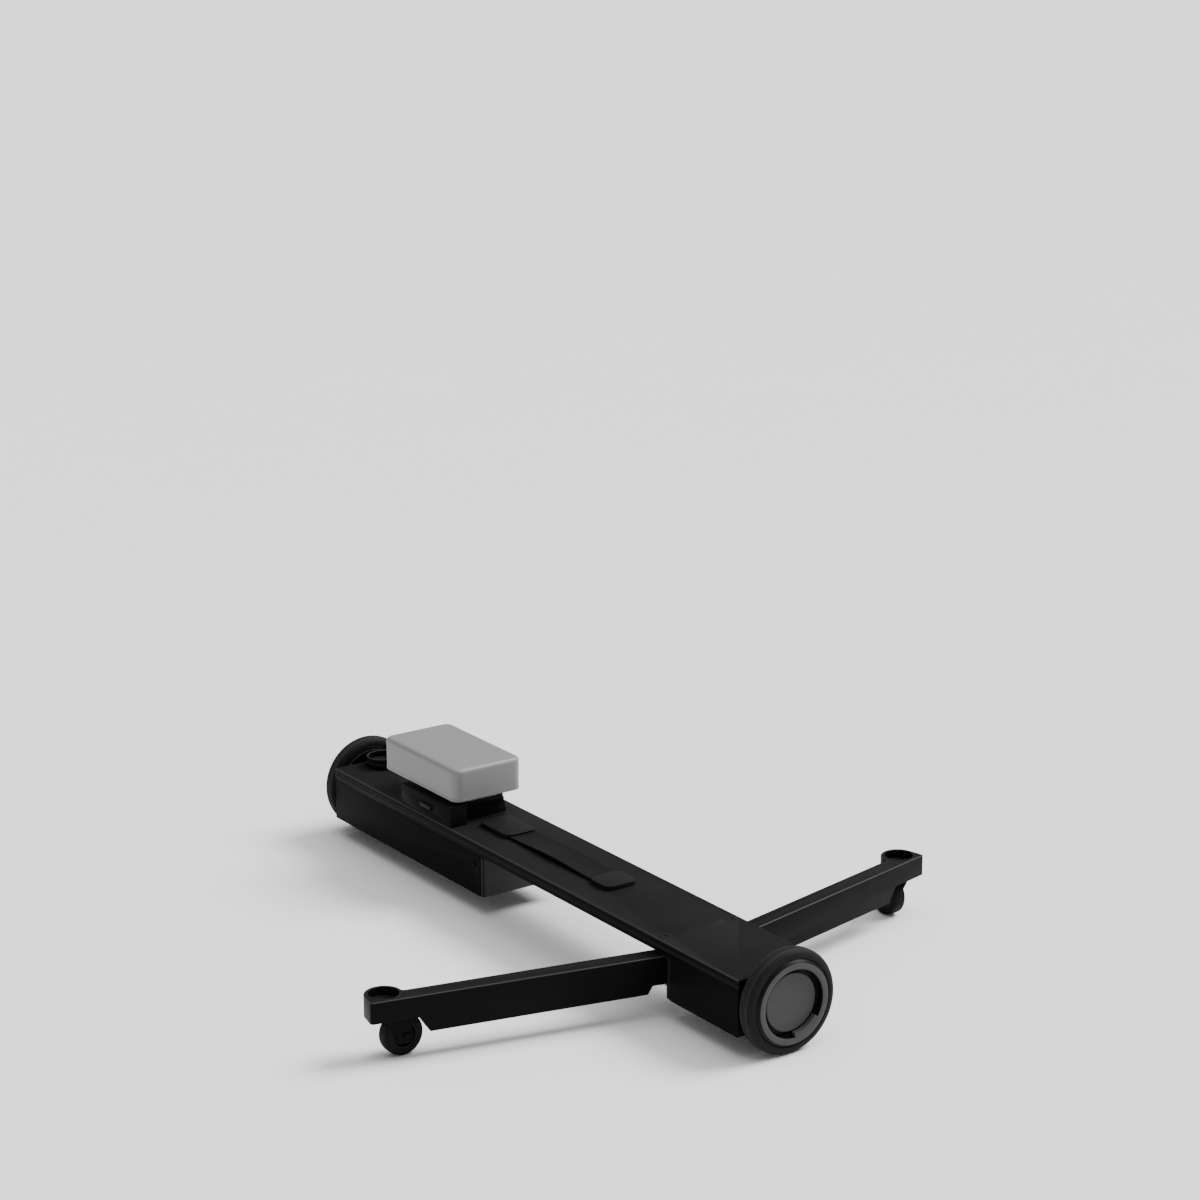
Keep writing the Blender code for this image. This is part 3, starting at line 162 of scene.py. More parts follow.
class DollyColours(bpy.types.PropertyGroup):
    """Colours of the finishes"""

    anodised: FloatVectorProperty(
        name="Anodised", description="Black anodising of the deck, arms and cups",
        default=(0.0042, 0.0042, 0.0044), min=0, max=1, precision=4, subtype="COLOR",
    )
    housing: FloatVectorProperty(
        name="Housing", description="Smooth black of the two housings",
        default=(0.0070, 0.0070, 0.0074), min=0, max=1, precision=4, subtype="COLOR",
    )
    # painted light: this grey stands for light on the caps, which are black like their sides
    cap: FloatVectorProperty(
        name="Inner caps", description="Dark grey of the caps beside the arm bay",
        default=(0.042, 0.042, 0.043), min=0, max=1, subtype="COLOR",
    )
    rubber: FloatVectorProperty(
        name="Rubber", description="Black rubber of tyres, pads and strap",
        default=(0.0055, 0.0055, 0.0055), min=0, max=1, subtype="COLOR",
    )
    rim: FloatVectorProperty(
        name="Rim", description="Dark grey of the driven wheels' rims",
        default=(0.056, 0.056, 0.058), min=0, max=1, subtype="COLOR",
    )
    hub: FloatVectorProperty(
        name="Hub caps", description="Grey of the hub caps",
        default=(0.050, 0.050, 0.051), min=0, max=1, subtype="COLOR",
    )
    nylon: FloatVectorProperty(
        name="Nylon", description="Black nylon of plates, hatches and caps",
        default=(0.0085, 0.0085, 0.0090), min=0, max=1, subtype="COLOR",
    )
    battery: FloatVectorProperty(
        name="Battery", description="Light grey of the battery's case",
        default=(0.190, 0.190, 0.194), min=0, max=1, subtype="COLOR",
    )
    steel: FloatVectorProperty(
        name="Steel", description="Bare steel of pins, nuts and bearings",
        default=(0.520, 0.515, 0.505), min=0, max=1, subtype="COLOR",
    )
    floor: FloatVectorProperty(
        name="Floor", description="Pale floor of the stage",
        default=(0.930, 0.930, 0.930), min=0, max=1, subtype="COLOR",
    )


def sizes():
    """Returns the sizes that the panel shows."""
    return bpy.context.scene.dolly_sizes


def colours():
    """Returns the colours that the panel shows."""
    return bpy.context.scene.dolly_colours


def grey(level):
    """Returns a neutral colour, opaque."""
    return (level, level, level, 1.0)


class Tone:
    """A number that varies over a surface. Arithmetic on it adds Math nodes."""

    def __init__(self, finish, socket):
        self.finish = finish
        self.socket = socket

    def math(self, operation, first, second):
        made = self.finish.node("ShaderNodeMath", {"operation": operation}, {0: first, 1: second})
        return Tone(self.finish, made.outputs[0])

    def __add__(self, other):
        return self.math("ADD", self, other)

    def __radd__(self, other):
        return self.math("ADD", other, self)

    def __sub__(self, other):
        return self.math("SUBTRACT", self, other)

    def __rsub__(self, other):
        return self.math("SUBTRACT", other, self)

    def __mul__(self, other):
        return self.math("MULTIPLY", self, other)

    def between(self, low, high):
        """Rises smoothly from 0 at low to 1 at high."""
        made = self.finish.node(
            "ShaderNodeMapRange", {"interpolation_type": "SMOOTHSTEP"},
            {"Value": self, "From Min": low, "From Max": high},
        )
        return Tone(self.finish, made.outputs["Result"])


class Finish:
    """A material being made. Its node method adds any node with its settings and inputs."""

    def __init__(self, name, colour, roughness, metallic=0.0):
        self.material = bpy.data.materials.new(name)
        self.material.use_nodes = True
        self.tree = self.material.node_tree
        self.shader = self.tree.nodes["Principled BSDF"]
        self.colour = (*colour, 1.0)
        self.set("Base Color", self.colour)
        self.set("Roughness", roughness)
        self.set("Metallic", metallic)

    def feed(self, socket, value):
        """Links a tone or a socket to an input, or sets the input to a constant."""
        if isinstance(value, Tone):
            self.tree.links.new(value.socket, socket)
        elif isinstance(value, bpy.types.NodeSocket):
            self.tree.links.new(value, socket)
        else:
            socket.default_value = value

    def node(self, kind, settings=None, inputs=None):
        made = self.tree.nodes.new(kind)
        for name, value in (settings or {}).items():
            setattr(made, name, value)
        for name, value in (inputs or {}).items():
            self.feed(made.inputs[name], value)
        return made

    def set(self, name, value):
        self.feed(self.shader.inputs[name], value)

    def place(self, stretch=(1.0, 1.0, 1.0), centre=(0.0, 0.0, 0.0)):
        """Returns the surface point, in metres, moved to a centre and stretched."""
        coordinate = self.node("ShaderNodeTexCoord")
        shifted = self.node(
            "ShaderNodeVectorMath", {"operation": "SUBTRACT"},
            {0: coordinate.outputs["Object"], 1: centre},
        )
        scaled = self.node(
            "ShaderNodeVectorMath", {"operation": "MULTIPLY"}, {0: shifted.outputs[0], 1: stretch},
        )
        return scaled.outputs[0]

    def noise(self, scale, detail=2.0, stretch=(1.0, 1.0, 1.0)):
        made = self.node("ShaderNodeTexNoise", None, {
            "Vector": self.place(stretch), "Scale": scale, "Detail": detail,
        })
        return Tone(self, made.outputs["Fac"])

    def cells(self, scale):
        made = self.node("ShaderNodeTexVoronoi", None, {"Vector": self.place(), "Scale": scale})
        return Tone(self, made.outputs["Distance"])

    def waves(self, scale, distortion=0.0, kind="BANDS", centre=(0.0, 0.0, 0.0)):
        """Returns bands across the X axis, or rings round a line along it."""
        made = self.node("ShaderNodeTexWave", {"wave_type": kind}, {
            "Vector": self.place(centre=centre), "Scale": scale, "Distortion": distortion,
            "Detail": 1.0,
        })
        return Tone(self, made.outputs["Fac"])

    def distance(self, stretch, centre=(0.0, 0.0, 0.0)):
        """Returns how far the surface lies from a centre, along the axes that a stretch keeps."""
        made = self.node(
            "ShaderNodeVectorMath", {"operation": "LENGTH"}, {0: self.place(stretch, centre)},
        )
        return Tone(self, made.outputs["Value"])

    def upward(self):
        """Returns how far the surface points up: 1 on tops, 0 on walls."""
        coordinate = self.node("ShaderNodeTexCoord")
        split = self.node("ShaderNodeSeparateXYZ", None, {0: coordinate.outputs["Normal"]})
        return Tone(self, split.outputs["Z"])

    def shade(self, tone, dark, light):
        """Returns the base colour between a darker and a lighter share of itself."""
        low = tuple(min(1.0, value * dark) for value in self.colour[:3]) + (1.0,)
        high = tuple(min(1.0, value * light) for value in self.colour[:3]) + (1.0,)
        return self.mix(tone, low, high)

    def mix(self, tone, first, second):
        """Returns the first colour where the tone is 0 and the second where it is 1."""
        made = self.node("ShaderNodeMix", {"data_type": "RGBA"}, {0: tone})
        self.feed(made.inputs[6], first)
        self.feed(made.inputs[7], second)
        return made.outputs[2]

    def bump(self, height, strength, distance):
        """Makes the surface uneven by a height tone."""
        made = self.node("ShaderNodeBump", None, {
            "Height": height, "Strength": strength, "Distance": distance,
        })
        self.set("Normal", made.outputs["Normal"])


def anodised_black(name, colour, roughness, gloss, top):
    """Bead-blasted, anodised aluminium, with painted sheen on tops, and painted highlights on edges and in
    a line along the deck's sides.
    """
    # painted highlights: a lighter line along the deck's side and lighter edges; dust is real specks
    painted_line_highlight, painted_edge_highlight, dust = grey(0.014), grey(0.040), grey(0.025)
    finish = Finish(name, colour, roughness)
    finish.set("Specular IOR Level", gloss)
    cloud = finish.noise(14, 4)
    wiped = finish.noise(46, 4, (0.12, 1.0, 1.0))
    grain = finish.noise(3200, 2)
    specks = finish.noise(900, 2).between(0.68, 0.80)
    patches = cloud.between(0.25, 0.75)
    up = finish.upward()
    # walls keep the colour; tops get a lighter copy of it, raised by top: painted sheen
    walls = finish.shade(patches, 0.86, 1.16)
    tops = finish.shade(patches, 0.90 * top, 1.10 * top)
    tint = finish.mix(up.between(0.6, 0.9), walls, tops)
    height = finish.distance((0, 0, 1))
    side = finish.distance((0, 1, 0)).between(DECK_SIDE, DECK_SIDE + 0.3 * MM)
    above = height.between(DECK_LINE_LOW, DECK_LINE_LOW + 0.4 * MM)
    below = height.between(DECK_LINE_HIGH, DECK_LINE_HIGH - 0.4 * MM)
    # painted highlight on the bevels and along the deck's upper edge
    painted_bevel_highlight = up.between(0.25, 0.40) * up.between(0.97, 0.92)
    edge = height.between(DECK_EDGE, DECK_EDGE + 0.3 * MM) * side + painted_bevel_highlight
    # painted highlight: a lighter line along the groove in the deck's side
    tint = finish.mix(above * below * side, tint, painted_line_highlight)
    tint = finish.mix(edge, tint, painted_edge_highlight)
    finish.set("Base Color", finish.mix(specks * 0.20, tint, dust))
    marks = (cloud - 0.5) * 0.12 + (wiped - 0.5) * 0.14 + (grain - 0.5) * 0.10
    finish.set("Roughness", roughness + marks)
    finish.bump(grain, 0.10, 0.0002)
    return finish.material


def smooth_black(name, colour, roughness):
    """Smooth black coat with a slight orange peel and a little dust."""
    finish = Finish(name, colour, roughness)
    finish.set("Specular IOR Level", LOW_GLOSS / 10)
    cloud = finish.noise(11, 4)
    peel = finish.noise(520, 2)
    dust = finish.noise(1700, 2).between(0.66, 0.76)
    tint = finish.shade(cloud, 0.85, 1.15)
    finish.set("Base Color", finish.mix(dust * 0.10, tint, (0.015, 0.015, 0.014, 1)))
    finish.set("Roughness", roughness + (cloud - 0.5) * 0.16 + dust * 0.10)
    finish.bump(peel, 0.06, 0.0003)
    return finish.material


def brushed_cap_painted_light(name, colour, roughness, side_colour):
    """Fine marks across a cap whose face is painted light, a satin grey, with black along its two sides.
    """
    finish = Finish(name, colour, roughness, 0.3)
    lines = finish.noise(900, 3, (1.0, 0.03, 1.0))
    cloud = finish.noise(16, 4)
    # the two sides get the black: the shaded copy beside the painted-light grey face
    side = finish.distance((0, 1, 0)).between(CAP_SIDE, CAP_SIDE + 0.4 * MM)
    tint = finish.shade(cloud * 0.6 + lines * 0.4, 0.82, 1.18)
    finish.set("Base Color", finish.mix(side, tint, (*side_colour, 1)))
    finish.set("Metallic", 0.3 - side * 0.3)
    finish.set("Specular IOR Level", LOW_GLOSS)
    finish.set("Roughness", roughness + (lines - 0.5) * 0.16 + (cloud - 0.5) * 0.12)
    finish.bump(lines, 0.08, 0.0002)
    return finish.material


def turned_grey(name, colour, roughness, centre, well=0.0, ring=0.0):
    """Satin grey face with faint rings of turning. A rim is black outside its ring, and painted shade
    makes it black inside its well.
    """
    finish = Finish(name, colour, roughness)
    finish.set("Specular IOR Level", LOW_GLOSS)
    rings = finish.waves(420, 0.6, "RINGS", centre)
    cloud = finish.noise(24, 4)
    dust = finish.noise(1500, 2).between(0.64, 0.78)
    tint = finish.mix(dust * 0.10, finish.shade(cloud, 0.88, 1.12), (0.15, 0.15, 0.145, 1))
    if well:
        reach = finish.distance((0, 1, 1), centre)
        # painted shade: the well's wall and floor are black
        inside = reach.between(well + 0.06 * MM, well + 0.03 * MM)
        outside = reach.between(ring, ring + 0.2 * MM)
        tint = finish.mix(inside + outside, tint, grey(0.004))
    finish.set("Base Color", tint)
    finish.set("Roughness", roughness + (rings - 0.5) * 0.10 + (cloud - 0.5) * 0.14)
    finish.bump(rings, 0.05, 0.0002)
    return finish.material


def tyre_rubber(name, colour, roughness):
    """Black rubber, dusty in patches, with painted light on the driven tyres' treads and outer walls."""
    finish = Finish(name, colour, roughness)
    finish.set("Specular IOR Level", LOW_GLOSS)
    cloud = finish.noise(40, 5)
    pores = finish.cells(1500)
    dust = finish.noise(260, 4).between(0.48, 0.72)
    # painted light: the outer wall and the tread are lighter than the rubber
    painted_light_wall = finish.distance((1, 0, 0)).between(TYRE_OUTER_WALL, TYRE_OUTER_WALL + 1.5 * MM)
    reach = finish.distance((0, 1, 1), (0, 0, WHEEL_RADIUS))
    inner = reach.between(WHEEL_RADIUS - 1.2 * MM, WHEEL_RADIUS - 0.7 * MM)
    outer = reach.between(WHEEL_RADIUS + 3.0 * MM, WHEEL_RADIUS + 2.0 * MM)
    tint = finish.shade(cloud.between(0.3, 0.7), 0.80, 1.30)
    tint = finish.mix(painted_light_wall, tint, grey(0.0085))
    tint = finish.mix(inner * outer, tint, (0.019, 0.019, 0.0185, 1))
    finish.set("Base Color", finish.mix(dust * 0.18, tint, (0.030, 0.029, 0.028, 1)))
    finish.set("Roughness", roughness + (cloud - 0.5) * 0.20 + dust * 0.12)
    finish.bump(pores, 0.14, 0.0003)
    return finish.material


def moulded_nylon(name, colour, roughness):
    """Moulded black nylon with a spark-eroded texture."""
    finish = Finish(name, colour, roughness)
    finish.set("Specular IOR Level", LOW_GLOSS)
    pits = finish.cells(1300)
    grain = finish.noise(2100, 2)
    cloud = finish.noise(18, 3)
    finish.set("Base Color", finish.shade(cloud * 0.7 + pits * 0.3, 0.84, 1.22))
    finish.set("Roughness", roughness + (pits - 0.4) * 0.12 + (cloud - 0.5) * 0.10)
    finish.bump(pits * 0.7 + grain * 0.3, 0.12, 0.0003)
    return finish.material


def battery_plastic(name, colour, roughness):
    """Light grey plastic with a fine eroded texture and faint handling marks."""
    finish = Finish(name, colour, roughness)
    grain = finish.noise(2600, 3)
    cloud = finish.noise(13, 4)
    marks = finish.noise(70, 5, (0.25, 1.0, 1.0)).between(0.60, 0.74)
    tint = finish.shade(cloud, 0.955, 1.045)
    finish.set("Base Color", finish.mix(marks * 0.07, tint, grey(0.16)))
    finish.set("Roughness", roughness + (grain - 0.5) * 0.12 + (cloud - 0.5) * 0.08 - marks * 0.06)
    finish.bump(grain, 0.10, 0.00025)
    return finish.material


def strap_rubber(name, colour, roughness):
    """Moulded rubber with fine cross ribs."""
    finish = Finish(name, colour, roughness)
    finish.set("Specular IOR Level", LOW_GLOSS)
    ribs = finish.waves(105)
    grain = finish.noise(1800, 2)
    cloud = finish.noise(30, 4)
    finish.set("Base Color", finish.shade(ribs * 0.5 + cloud * 0.5, 0.80, 1.25))
    finish.set("Roughness", roughness + (cloud - 0.5) * 0.16 + (grain - 0.5) * 0.08)
    finish.bump(ribs * 0.8 + grain * 0.2, 0.35, 0.0005)
    return finish.material


def machined_steel(name, colour, roughness):
    """Bare machined steel with fine tool marks and a little oil."""
    finish = Finish(name, colour, roughness, 1.0)
    lines = finish.noise(1400, 3, (1.0, 1.0, 0.08))
    cloud = finish.noise(60, 4)
    finish.set("Base Color", finish.shade(cloud * 0.5 + lines * 0.5, 0.80, 1.12))
    finish.set("Roughness", roughness + (lines - 0.5) * 0.20 + (cloud - 0.5) * 0.14)
    finish.bump(lines, 0.06, 0.0001)
    return finish.material


def circuit_green(name, colour, roughness):
    """Lacquered circuit board with copper tracks under the lacquer."""
    finish = Finish(name, colour, roughness)
    tracks = finish.waves(160, 3.0).between(0.55, 0.62)
    pads = finish.cells(220).between(0.16, 0.12)
    finish.set("Base Color", finish.mix(pads, finish.shade(tracks, 0.7, 1.5), (0.55, 0.50, 0.36, 1)))
    finish.set("Roughness", roughness - pads * 0.12)
    finish.bump(tracks, 0.10, 0.0001)
    return finish.material


def cell_sleeve(name, colour, roughness):
    """Blue shrink sleeve over the row of cells."""
    finish = Finish(name, colour, roughness)
    rows = finish.waves(8.2)
    creases = finish.noise(240, 4)
    finish.set("Base Color", finish.shade(rows, 0.72, 1.20))
    finish.set("Roughness", roughness + (creases - 0.5) * 0.20)
    finish.bump(rows * 0.8 + creases * 0.2, 0.30, 0.0010)
    return finish.material


def ready(name, maker, *values):
    """Returns a finish, made on its first use."""
    return bpy.data.materials.get(name) or maker(name, *values)


def finish_for(slot, node):
    """Returns the finish of a material slot of the record, for one node or loose piece."""
    look = colours()
    if slot in ("rim", "hub_cap"):
        side = "left" if node.startswith("left") else "right"
        centre = tuple(JOINT_AT[f"{side}_wheel_spin"])
        if slot == "rim":
            well = sizes().well_radius
            return ready(f"{side}_rim_satin", turned_grey, look.rim, 0.40, centre, well, RIM_RING)
        return ready(f"{side}_hub_satin", turned_grey, look.hub, 0.44, centre)
    if node.endswith("caster_hub"):
        return ready("hub_black", moulded_nylon, look.housing, 0.50)
    if node in ("front_arm", "rear_arm"):
        # the last number lightens the arms' tops: painted sheen
        return ready("arm_anodising", anodised_black, look.anodised, 0.40, 0.035, 1.8)
    makers = {
        # the last number lightens the deck's top: painted sheen
        "deck": ("deck_anodising", anodised_black, look.anodised, 0.40, 0.015, 3.0),
        "housing": ("housing_black", smooth_black, look.housing, 0.30),
        "inner_cap": ("cap_grey", brushed_cap_painted_light, look.cap, 0.42, look.housing),
        "tyre": ("tyre_black", tyre_rubber, look.rubber, 0.60),
        "pad": ("pad_black", tyre_rubber, look.rubber, 0.72),
        "strap": ("strap_black", strap_rubber, look.rubber, 0.58),
        "nylon": ("nylon_black", moulded_nylon, look.nylon, 0.50),
        "battery_shell": ("battery_grey", battery_plastic, look.battery, 0.46),
        "cells": ("cell_blue", cell_sleeve, (0.03, 0.08, 0.26), 0.40),
        "steel": ("machined_steel", machined_steel, look.steel, 0.30),
        "fork": ("fork_black", smooth_black, look.housing, 0.38),
        "block": ("block_aluminium", machined_steel, (0.60, 0.60, 0.61), 0.36),
        "circuit": ("circuit_green", circuit_green, (0.02, 0.12, 0.05), 0.38),
    }
    return ready(*makers[slot])


def deselect():
    """Leaves edit mode and deselects everything."""
    if bpy.context.object and bpy.context.object.mode != "OBJECT":
        bpy.ops.object.mode_set(mode="OBJECT")
    bpy.ops.object.select_all(action="DESELECT")


def take(piece):
    """Makes a piece the only selected one, and the active one."""
    deselect()
    piece.select_set(True)
    bpy.context.view_layer.objects.active = piece


@contextlib.contextmanager
def editing(piece, kind="FACE"):
    """Opens a piece in edit mode with everything deselected."""
    take(piece)
    bpy.ops.object.mode_set(mode="EDIT")
    bpy.ops.mesh.select_mode(type=kind)
    bpy.ops.mesh.select_all(action="DESELECT")
    yield
    bpy.ops.object.mode_set(mode="OBJECT")


def pick(piece, kind, wanted):
    """Selects the vertices, edges or faces of the edited piece that a test wants."""
    shape = bmesh.from_edit_mesh(piece.data)
    for item in getattr(shape, kind):
        item.select_set(bool(wanted(item)))
    shape.select_flush_mode()
    bmesh.update_edit_mesh(piece.data)


def settle(piece, location=(0, 0, 0), turn=(0, 0, 0)):
    """Puts a piece in place and leaves its object at the origin."""
    take(piece)
    piece.location = location
    piece.rotation_euler = turn
    bpy.ops.object.transform_apply(location=True, rotation=True, scale=True)
    return piece


def smooth(piece, degrees=32):
    """Shades a piece smooth up to an angle."""
    take(piece)
    bpy.ops.object.shade_smooth_by_angle(angle=math.radians(degrees))
    return piece


def apply_all(piece):
    """Applies a piece's modifiers."""
    take(piece)
    for step in list(piece.modifiers):
        bpy.ops.object.modifier_apply(modifier=step.name)
    return piece


def round_edges(piece, width, segments=2, degrees=35):
    """Rounds every edge that is sharper than an angle."""
    step = piece.modifiers.new("edges", "BEVEL")
    step.width = width
    step.segments = segments
    step.limit_method = "ANGLE"
    step.angle_limit = math.radians(degrees)
    step.miter_outer = "MITER_ARC"
    return apply_all(piece)


def named(piece, name):
    """Names a piece and its mesh."""
    piece.name = name
    piece.data.name = name
    return piece


def turned(name, profile, steps, ring=True):
    """Draws a profile of (radius, height) points one by one and spins it round the Z axis."""
    deselect()
    bpy.ops.mesh.primitive_circle_add(vertices=3, radius=MM)
    piece = named(bpy.context.object, name)
    points = [Vector((radius, 0, height)) for radius, height in profile]
    if ring:
        points.append(points[0])
    with editing(piece, "VERT"):
        bpy.ops.mesh.select_all(action="SELECT")
        bpy.ops.mesh.merge(type="CENTER")
        bpy.ops.mesh.select_all(action="SELECT")
        bpy.ops.transform.translate(value=points[0])
        for start, end in zip(points, points[1:]):
            bpy.ops.mesh.extrude_region_move(TRANSFORM_OT_translate={"value": end - start})
        bpy.ops.mesh.select_all(action="SELECT")
        bpy.ops.mesh.remove_doubles(threshold=WELD)
        bpy.ops.mesh.select_all(action="SELECT")
        bpy.ops.mesh.spin(steps=steps, angle=math.tau, center=(0, 0, 0), axis=(0, 0, 1))
        bpy.ops.mesh.select_all(action="SELECT")
        bpy.ops.mesh.remove_doubles(threshold=WELD)
        bpy.ops.mesh.normals_make_consistent(inside=False)
    return piece


def block(name, low, high):
    """Adds a cube between two corners."""
    deselect()
    low, high = Vector(low), Vector(high)
    bpy.ops.mesh.primitive_cube_add(size=1, location=(low + high) / 2, scale=high - low)
    piece = named(bpy.context.object, name)
    bpy.ops.object.transform_apply(location=True, rotation=True, scale=True)
    return piece


def copied(piece, name):
    """Copies a piece with a mesh of its own."""
    take(piece)
    bpy.ops.object.duplicate(linked=False)
    return named(bpy.context.object, name)


def mount(piece, body, slot, *replaced):
    """Hands a finished piece to its body, with the slot and the CAD nodes that it stands for."""
    node = replaced[0] if replaced else piece.name
    piece.data.materials.clear()
    piece.data.materials.append(finish_for(slot, node))
    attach(piece, body)
    if replaced:
        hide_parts(*replaced)


def dressed(node, width, segments=2):
    """Makes a merged copy of a CAD node with broken edges, which stands for the node."""
    source = frame["nodes"][node]
    take(source)
    bpy.ops.object.duplicate(linked=False)
    piece = named(bpy.context.object, f"{node}_fine")
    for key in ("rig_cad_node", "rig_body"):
        del piece[key]
    piece.parent = None
    with editing(piece, "VERT"):
        bpy.ops.mesh.customdata_custom_splitnormals_clear()
        bpy.ops.mesh.select_all(action="SELECT")
        bpy.ops.mesh.remove_doubles(threshold=WELD)
        bpy.ops.mesh.dissolve_limited(angle_limit=math.radians(0.5))
    round_edges(piece, width, segments)
    smooth(piece)
    mount(piece, BODY_OF[node], SLOT_OF[node], node)


def wheel_tyre_profile():
    """The driven tyre's section: round shoulders, a flat tread and three narrow grooves."""
    size = sizes()
    radius, half, seat, offset = WHEEL_RADIUS, 10.7 * MM, 50.0 * MM, -1.4 * MM
    depth, mouth, bottom = 0.7 * MM, 0.35 * MM, 0.25 * MM
    inner = radius - size.shoulder_radius
    shoulder, flats = [], 8
    for step in range(flats + 1):
        angle = math.pi / 2 * step / flats
        shoulder.append((
            inner + size.shoulder_radius * math.sin(angle),
            half - size.shoulder_depth * (1 - math.cos(angle)),
        ))
    tread = []
    for middle in (2.1 * MM, 0.0):
        tread += [
            (radius, middle + mouth), (radius - depth, middle + bottom),
            (radius - depth, middle - bottom), (radius, middle - mouth),
        ]
    upper = [(seat, half - 3.6 * MM), (seat, half - 0.4 * MM), (seat + 0.4 * MM, half)] + shoulder
    lower = [(r, -z) for r, z in reversed(upper)]
    third = [(r, -z) for r, z in reversed(tread[:4])]
    return [(r, z + offset) for r, z in upper + tread + third + lower]


def rim_profile():
    """The rim's section: a flat ring that stands out, a deep well for the hub cap and a drum."""
    well = sizes().well_radius
    edge, ring, face = 49.7 * MM, RIM_RING, 12.1 * MM
    bore, boss, back, floor = 6.3 * MM, 14.0 * MM, -1.35 * MM, 2.15 * MM
    return [
        (bore, -face), (boss - 1.0 * MM, -face), (boss, -11.2 * MM), (boss, -2.4 * MM),
        (16.0 * MM, back), (42.2 * MM, back), (44.0 * MM, -2.4 * MM), (44.3 * MM, -11.4 * MM),
        (45.1 * MM, -face), (edge - 0.6 * MM, -face), (edge, -11.4 * MM),
        (edge, 8.6 * MM), (edge - 0.4 * MM, 9.1 * MM), (ring + 0.6 * MM, 11.4 * MM),
        (ring, face - 0.15 * MM), (ring - 0.6 * MM, face), (well + 0.6 * MM, face),
        (well + 0.15 * MM, face - 0.15 * MM), (well, face - 0.6 * MM),
        (well, floor + 0.6 * MM), (well - 0.6 * MM, floor), (bore, floor),
    ]


def hub_cap_profile():
    """The hub cap's section: a flat disc with a fine raised edge."""
    low, top, radius = 2.45 * MM, 12.15 * MM - sizes().hub_recess, 33.5 * MM
    return [
        (0, low), (radius - 0.4 * MM, low), (radius, low + 0.4 * MM), (radius, top - 0.8 * MM),
        (33.25 * MM, top - 0.25 * MM), (32.7 * MM, top), (31.5 * MM, top), (31.1 * MM, top - 0.25 * MM),
        (30.5 * MM, top - 0.3 * MM), (0, top - 0.3 * MM),
    ]


def rim_key(name):
    """The short stretch where the rim's ring reaches in to the hub cap."""
    well = sizes().well_radius
    inner, low, high = 34.3 * MM, 6.2 * MM, 12.0 * MM
    section = [
        (inner, low), (well + 0.1 * MM, low), (well + 0.1 * MM, high), (inner + 0.5 * MM, high),
        (inner + 0.1 * MM, high - 0.1 * MM), (inner, high - 0.5 * MM),
    ]
    key = turned(name, section, sizes().wheel_steps)
    start, end = 3, 56
    for degrees, way in ((start, 1), (end, -1)):
        angle = math.radians(degrees)
        with editing(key):
            bpy.ops.mesh.select_all(action="SELECT")
            bpy.ops.mesh.bisect(
                plane_co=(0, 0, 0), plane_no=(-way * math.sin(angle), way * math.cos(angle), 0),
                use_fill=True, clear_inner=True,
            )
    return key


def make_wheels():
    """Makes both driven wheels' tyres, rims, hub caps and keys."""
    steps = sizes().wheel_steps
    for name, side in SIDES:
        middle = JOINT_AT[f"{name}_wheel_spin"]
        turn = (0, side * math.pi / 2, 0)
        for part, profile, ring, slot in (
            ("tyre", wheel_tyre_profile(), True, "tyre"),
            ("rim", rim_profile(), True, "rim"),
            ("hub_cap", hub_cap_profile(), False, "hub_cap"),
        ):
            piece = turned(f"{name}_{part}_fine", profile, steps, ring)
            settle(piece, middle, turn)
            smooth(piece, 30)
            mount(piece, f"{name}_wheel", slot, f"{name}_{part}")
        key = settle(rim_key(f"{name}_rim_key"), middle, turn)
        smooth(key, 30)
        mount(key, f"{name}_wheel", "hub_cap")


def arm_cup_profile(bottom, floor, rim):
    """The section of a cup that is let into an arm's tip."""
    wall, inside = 19.2 * MM, 17.2 * MM
    return [
        (0, bottom), (wall - 0.7 * MM, bottom), (wall, bottom + 0.7 * MM), (wall, rim - 0.6 * MM),
        (wall - 0.15 * MM, rim - 0.2 * MM), (wall - 0.5 * MM, rim), (inside + 0.7 * MM, rim),
        (inside + 0.2 * MM, rim - 0.25 * MM), (inside, rim - 0.8 * MM), (inside, floor), (0, floor),
    ]


def cup_profile(bottom, floor, rim):
    """The deck cup's section, with two fine grooves round its wall."""
    wall, inside = 21.5 * MM, 18.5 * MM
    groove = rim - 6.0 * MM
    return [
        (0, bottom), (20.2 * MM, bottom), (wall - 0.3 * MM, bottom + 0.9 * MM), (wall, bottom + 1.6 * MM),
        (wall, groove - 1.9 * MM), (wall - 0.35 * MM, groove - 1.6 * MM),
        (wall - 0.35 * MM, groove - 1.2 * MM), (wall, groove - 0.9 * MM),
        (wall, groove), (wall - 0.35 * MM, groove + 0.3 * MM),
        (wall - 0.35 * MM, groove + 0.7 * MM), (wall, groove + 1.0 * MM),
        (wall, rim - 0.9 * MM), (wall - 0.25 * MM, rim - 0.25 * MM), (wall - 0.9 * MM, rim),
        (inside + 1.0 * MM, rim), (inside + 0.3 * MM, rim - 0.4 * MM), (inside, rim - 1.2 * MM),
        (inside, floor), (0, floor),
    ]


def pad_profile(low, high, radius):
    """A cup pad's section, with round grooves in its top."""
    profile = [
        (0, low), (radius - 0.2 * MM, low), (radius, low + 0.3 * MM),
        (radius, high - 0.4 * MM), (radius - 0.4 * MM, high),
    ]
    depth, mouth, bottom = 0.5 * MM, 0.9 * MM, 0.5 * MM
    for groove in (13.6 * MM, 10.2 * MM, 6.8 * MM):
        profile += [
            (groove + mouth, high), (groove + bottom, high - depth),
            (groove - bottom, high - depth), (groove - mouth, high),
        ]
    profile.append((0, high))
    return profile


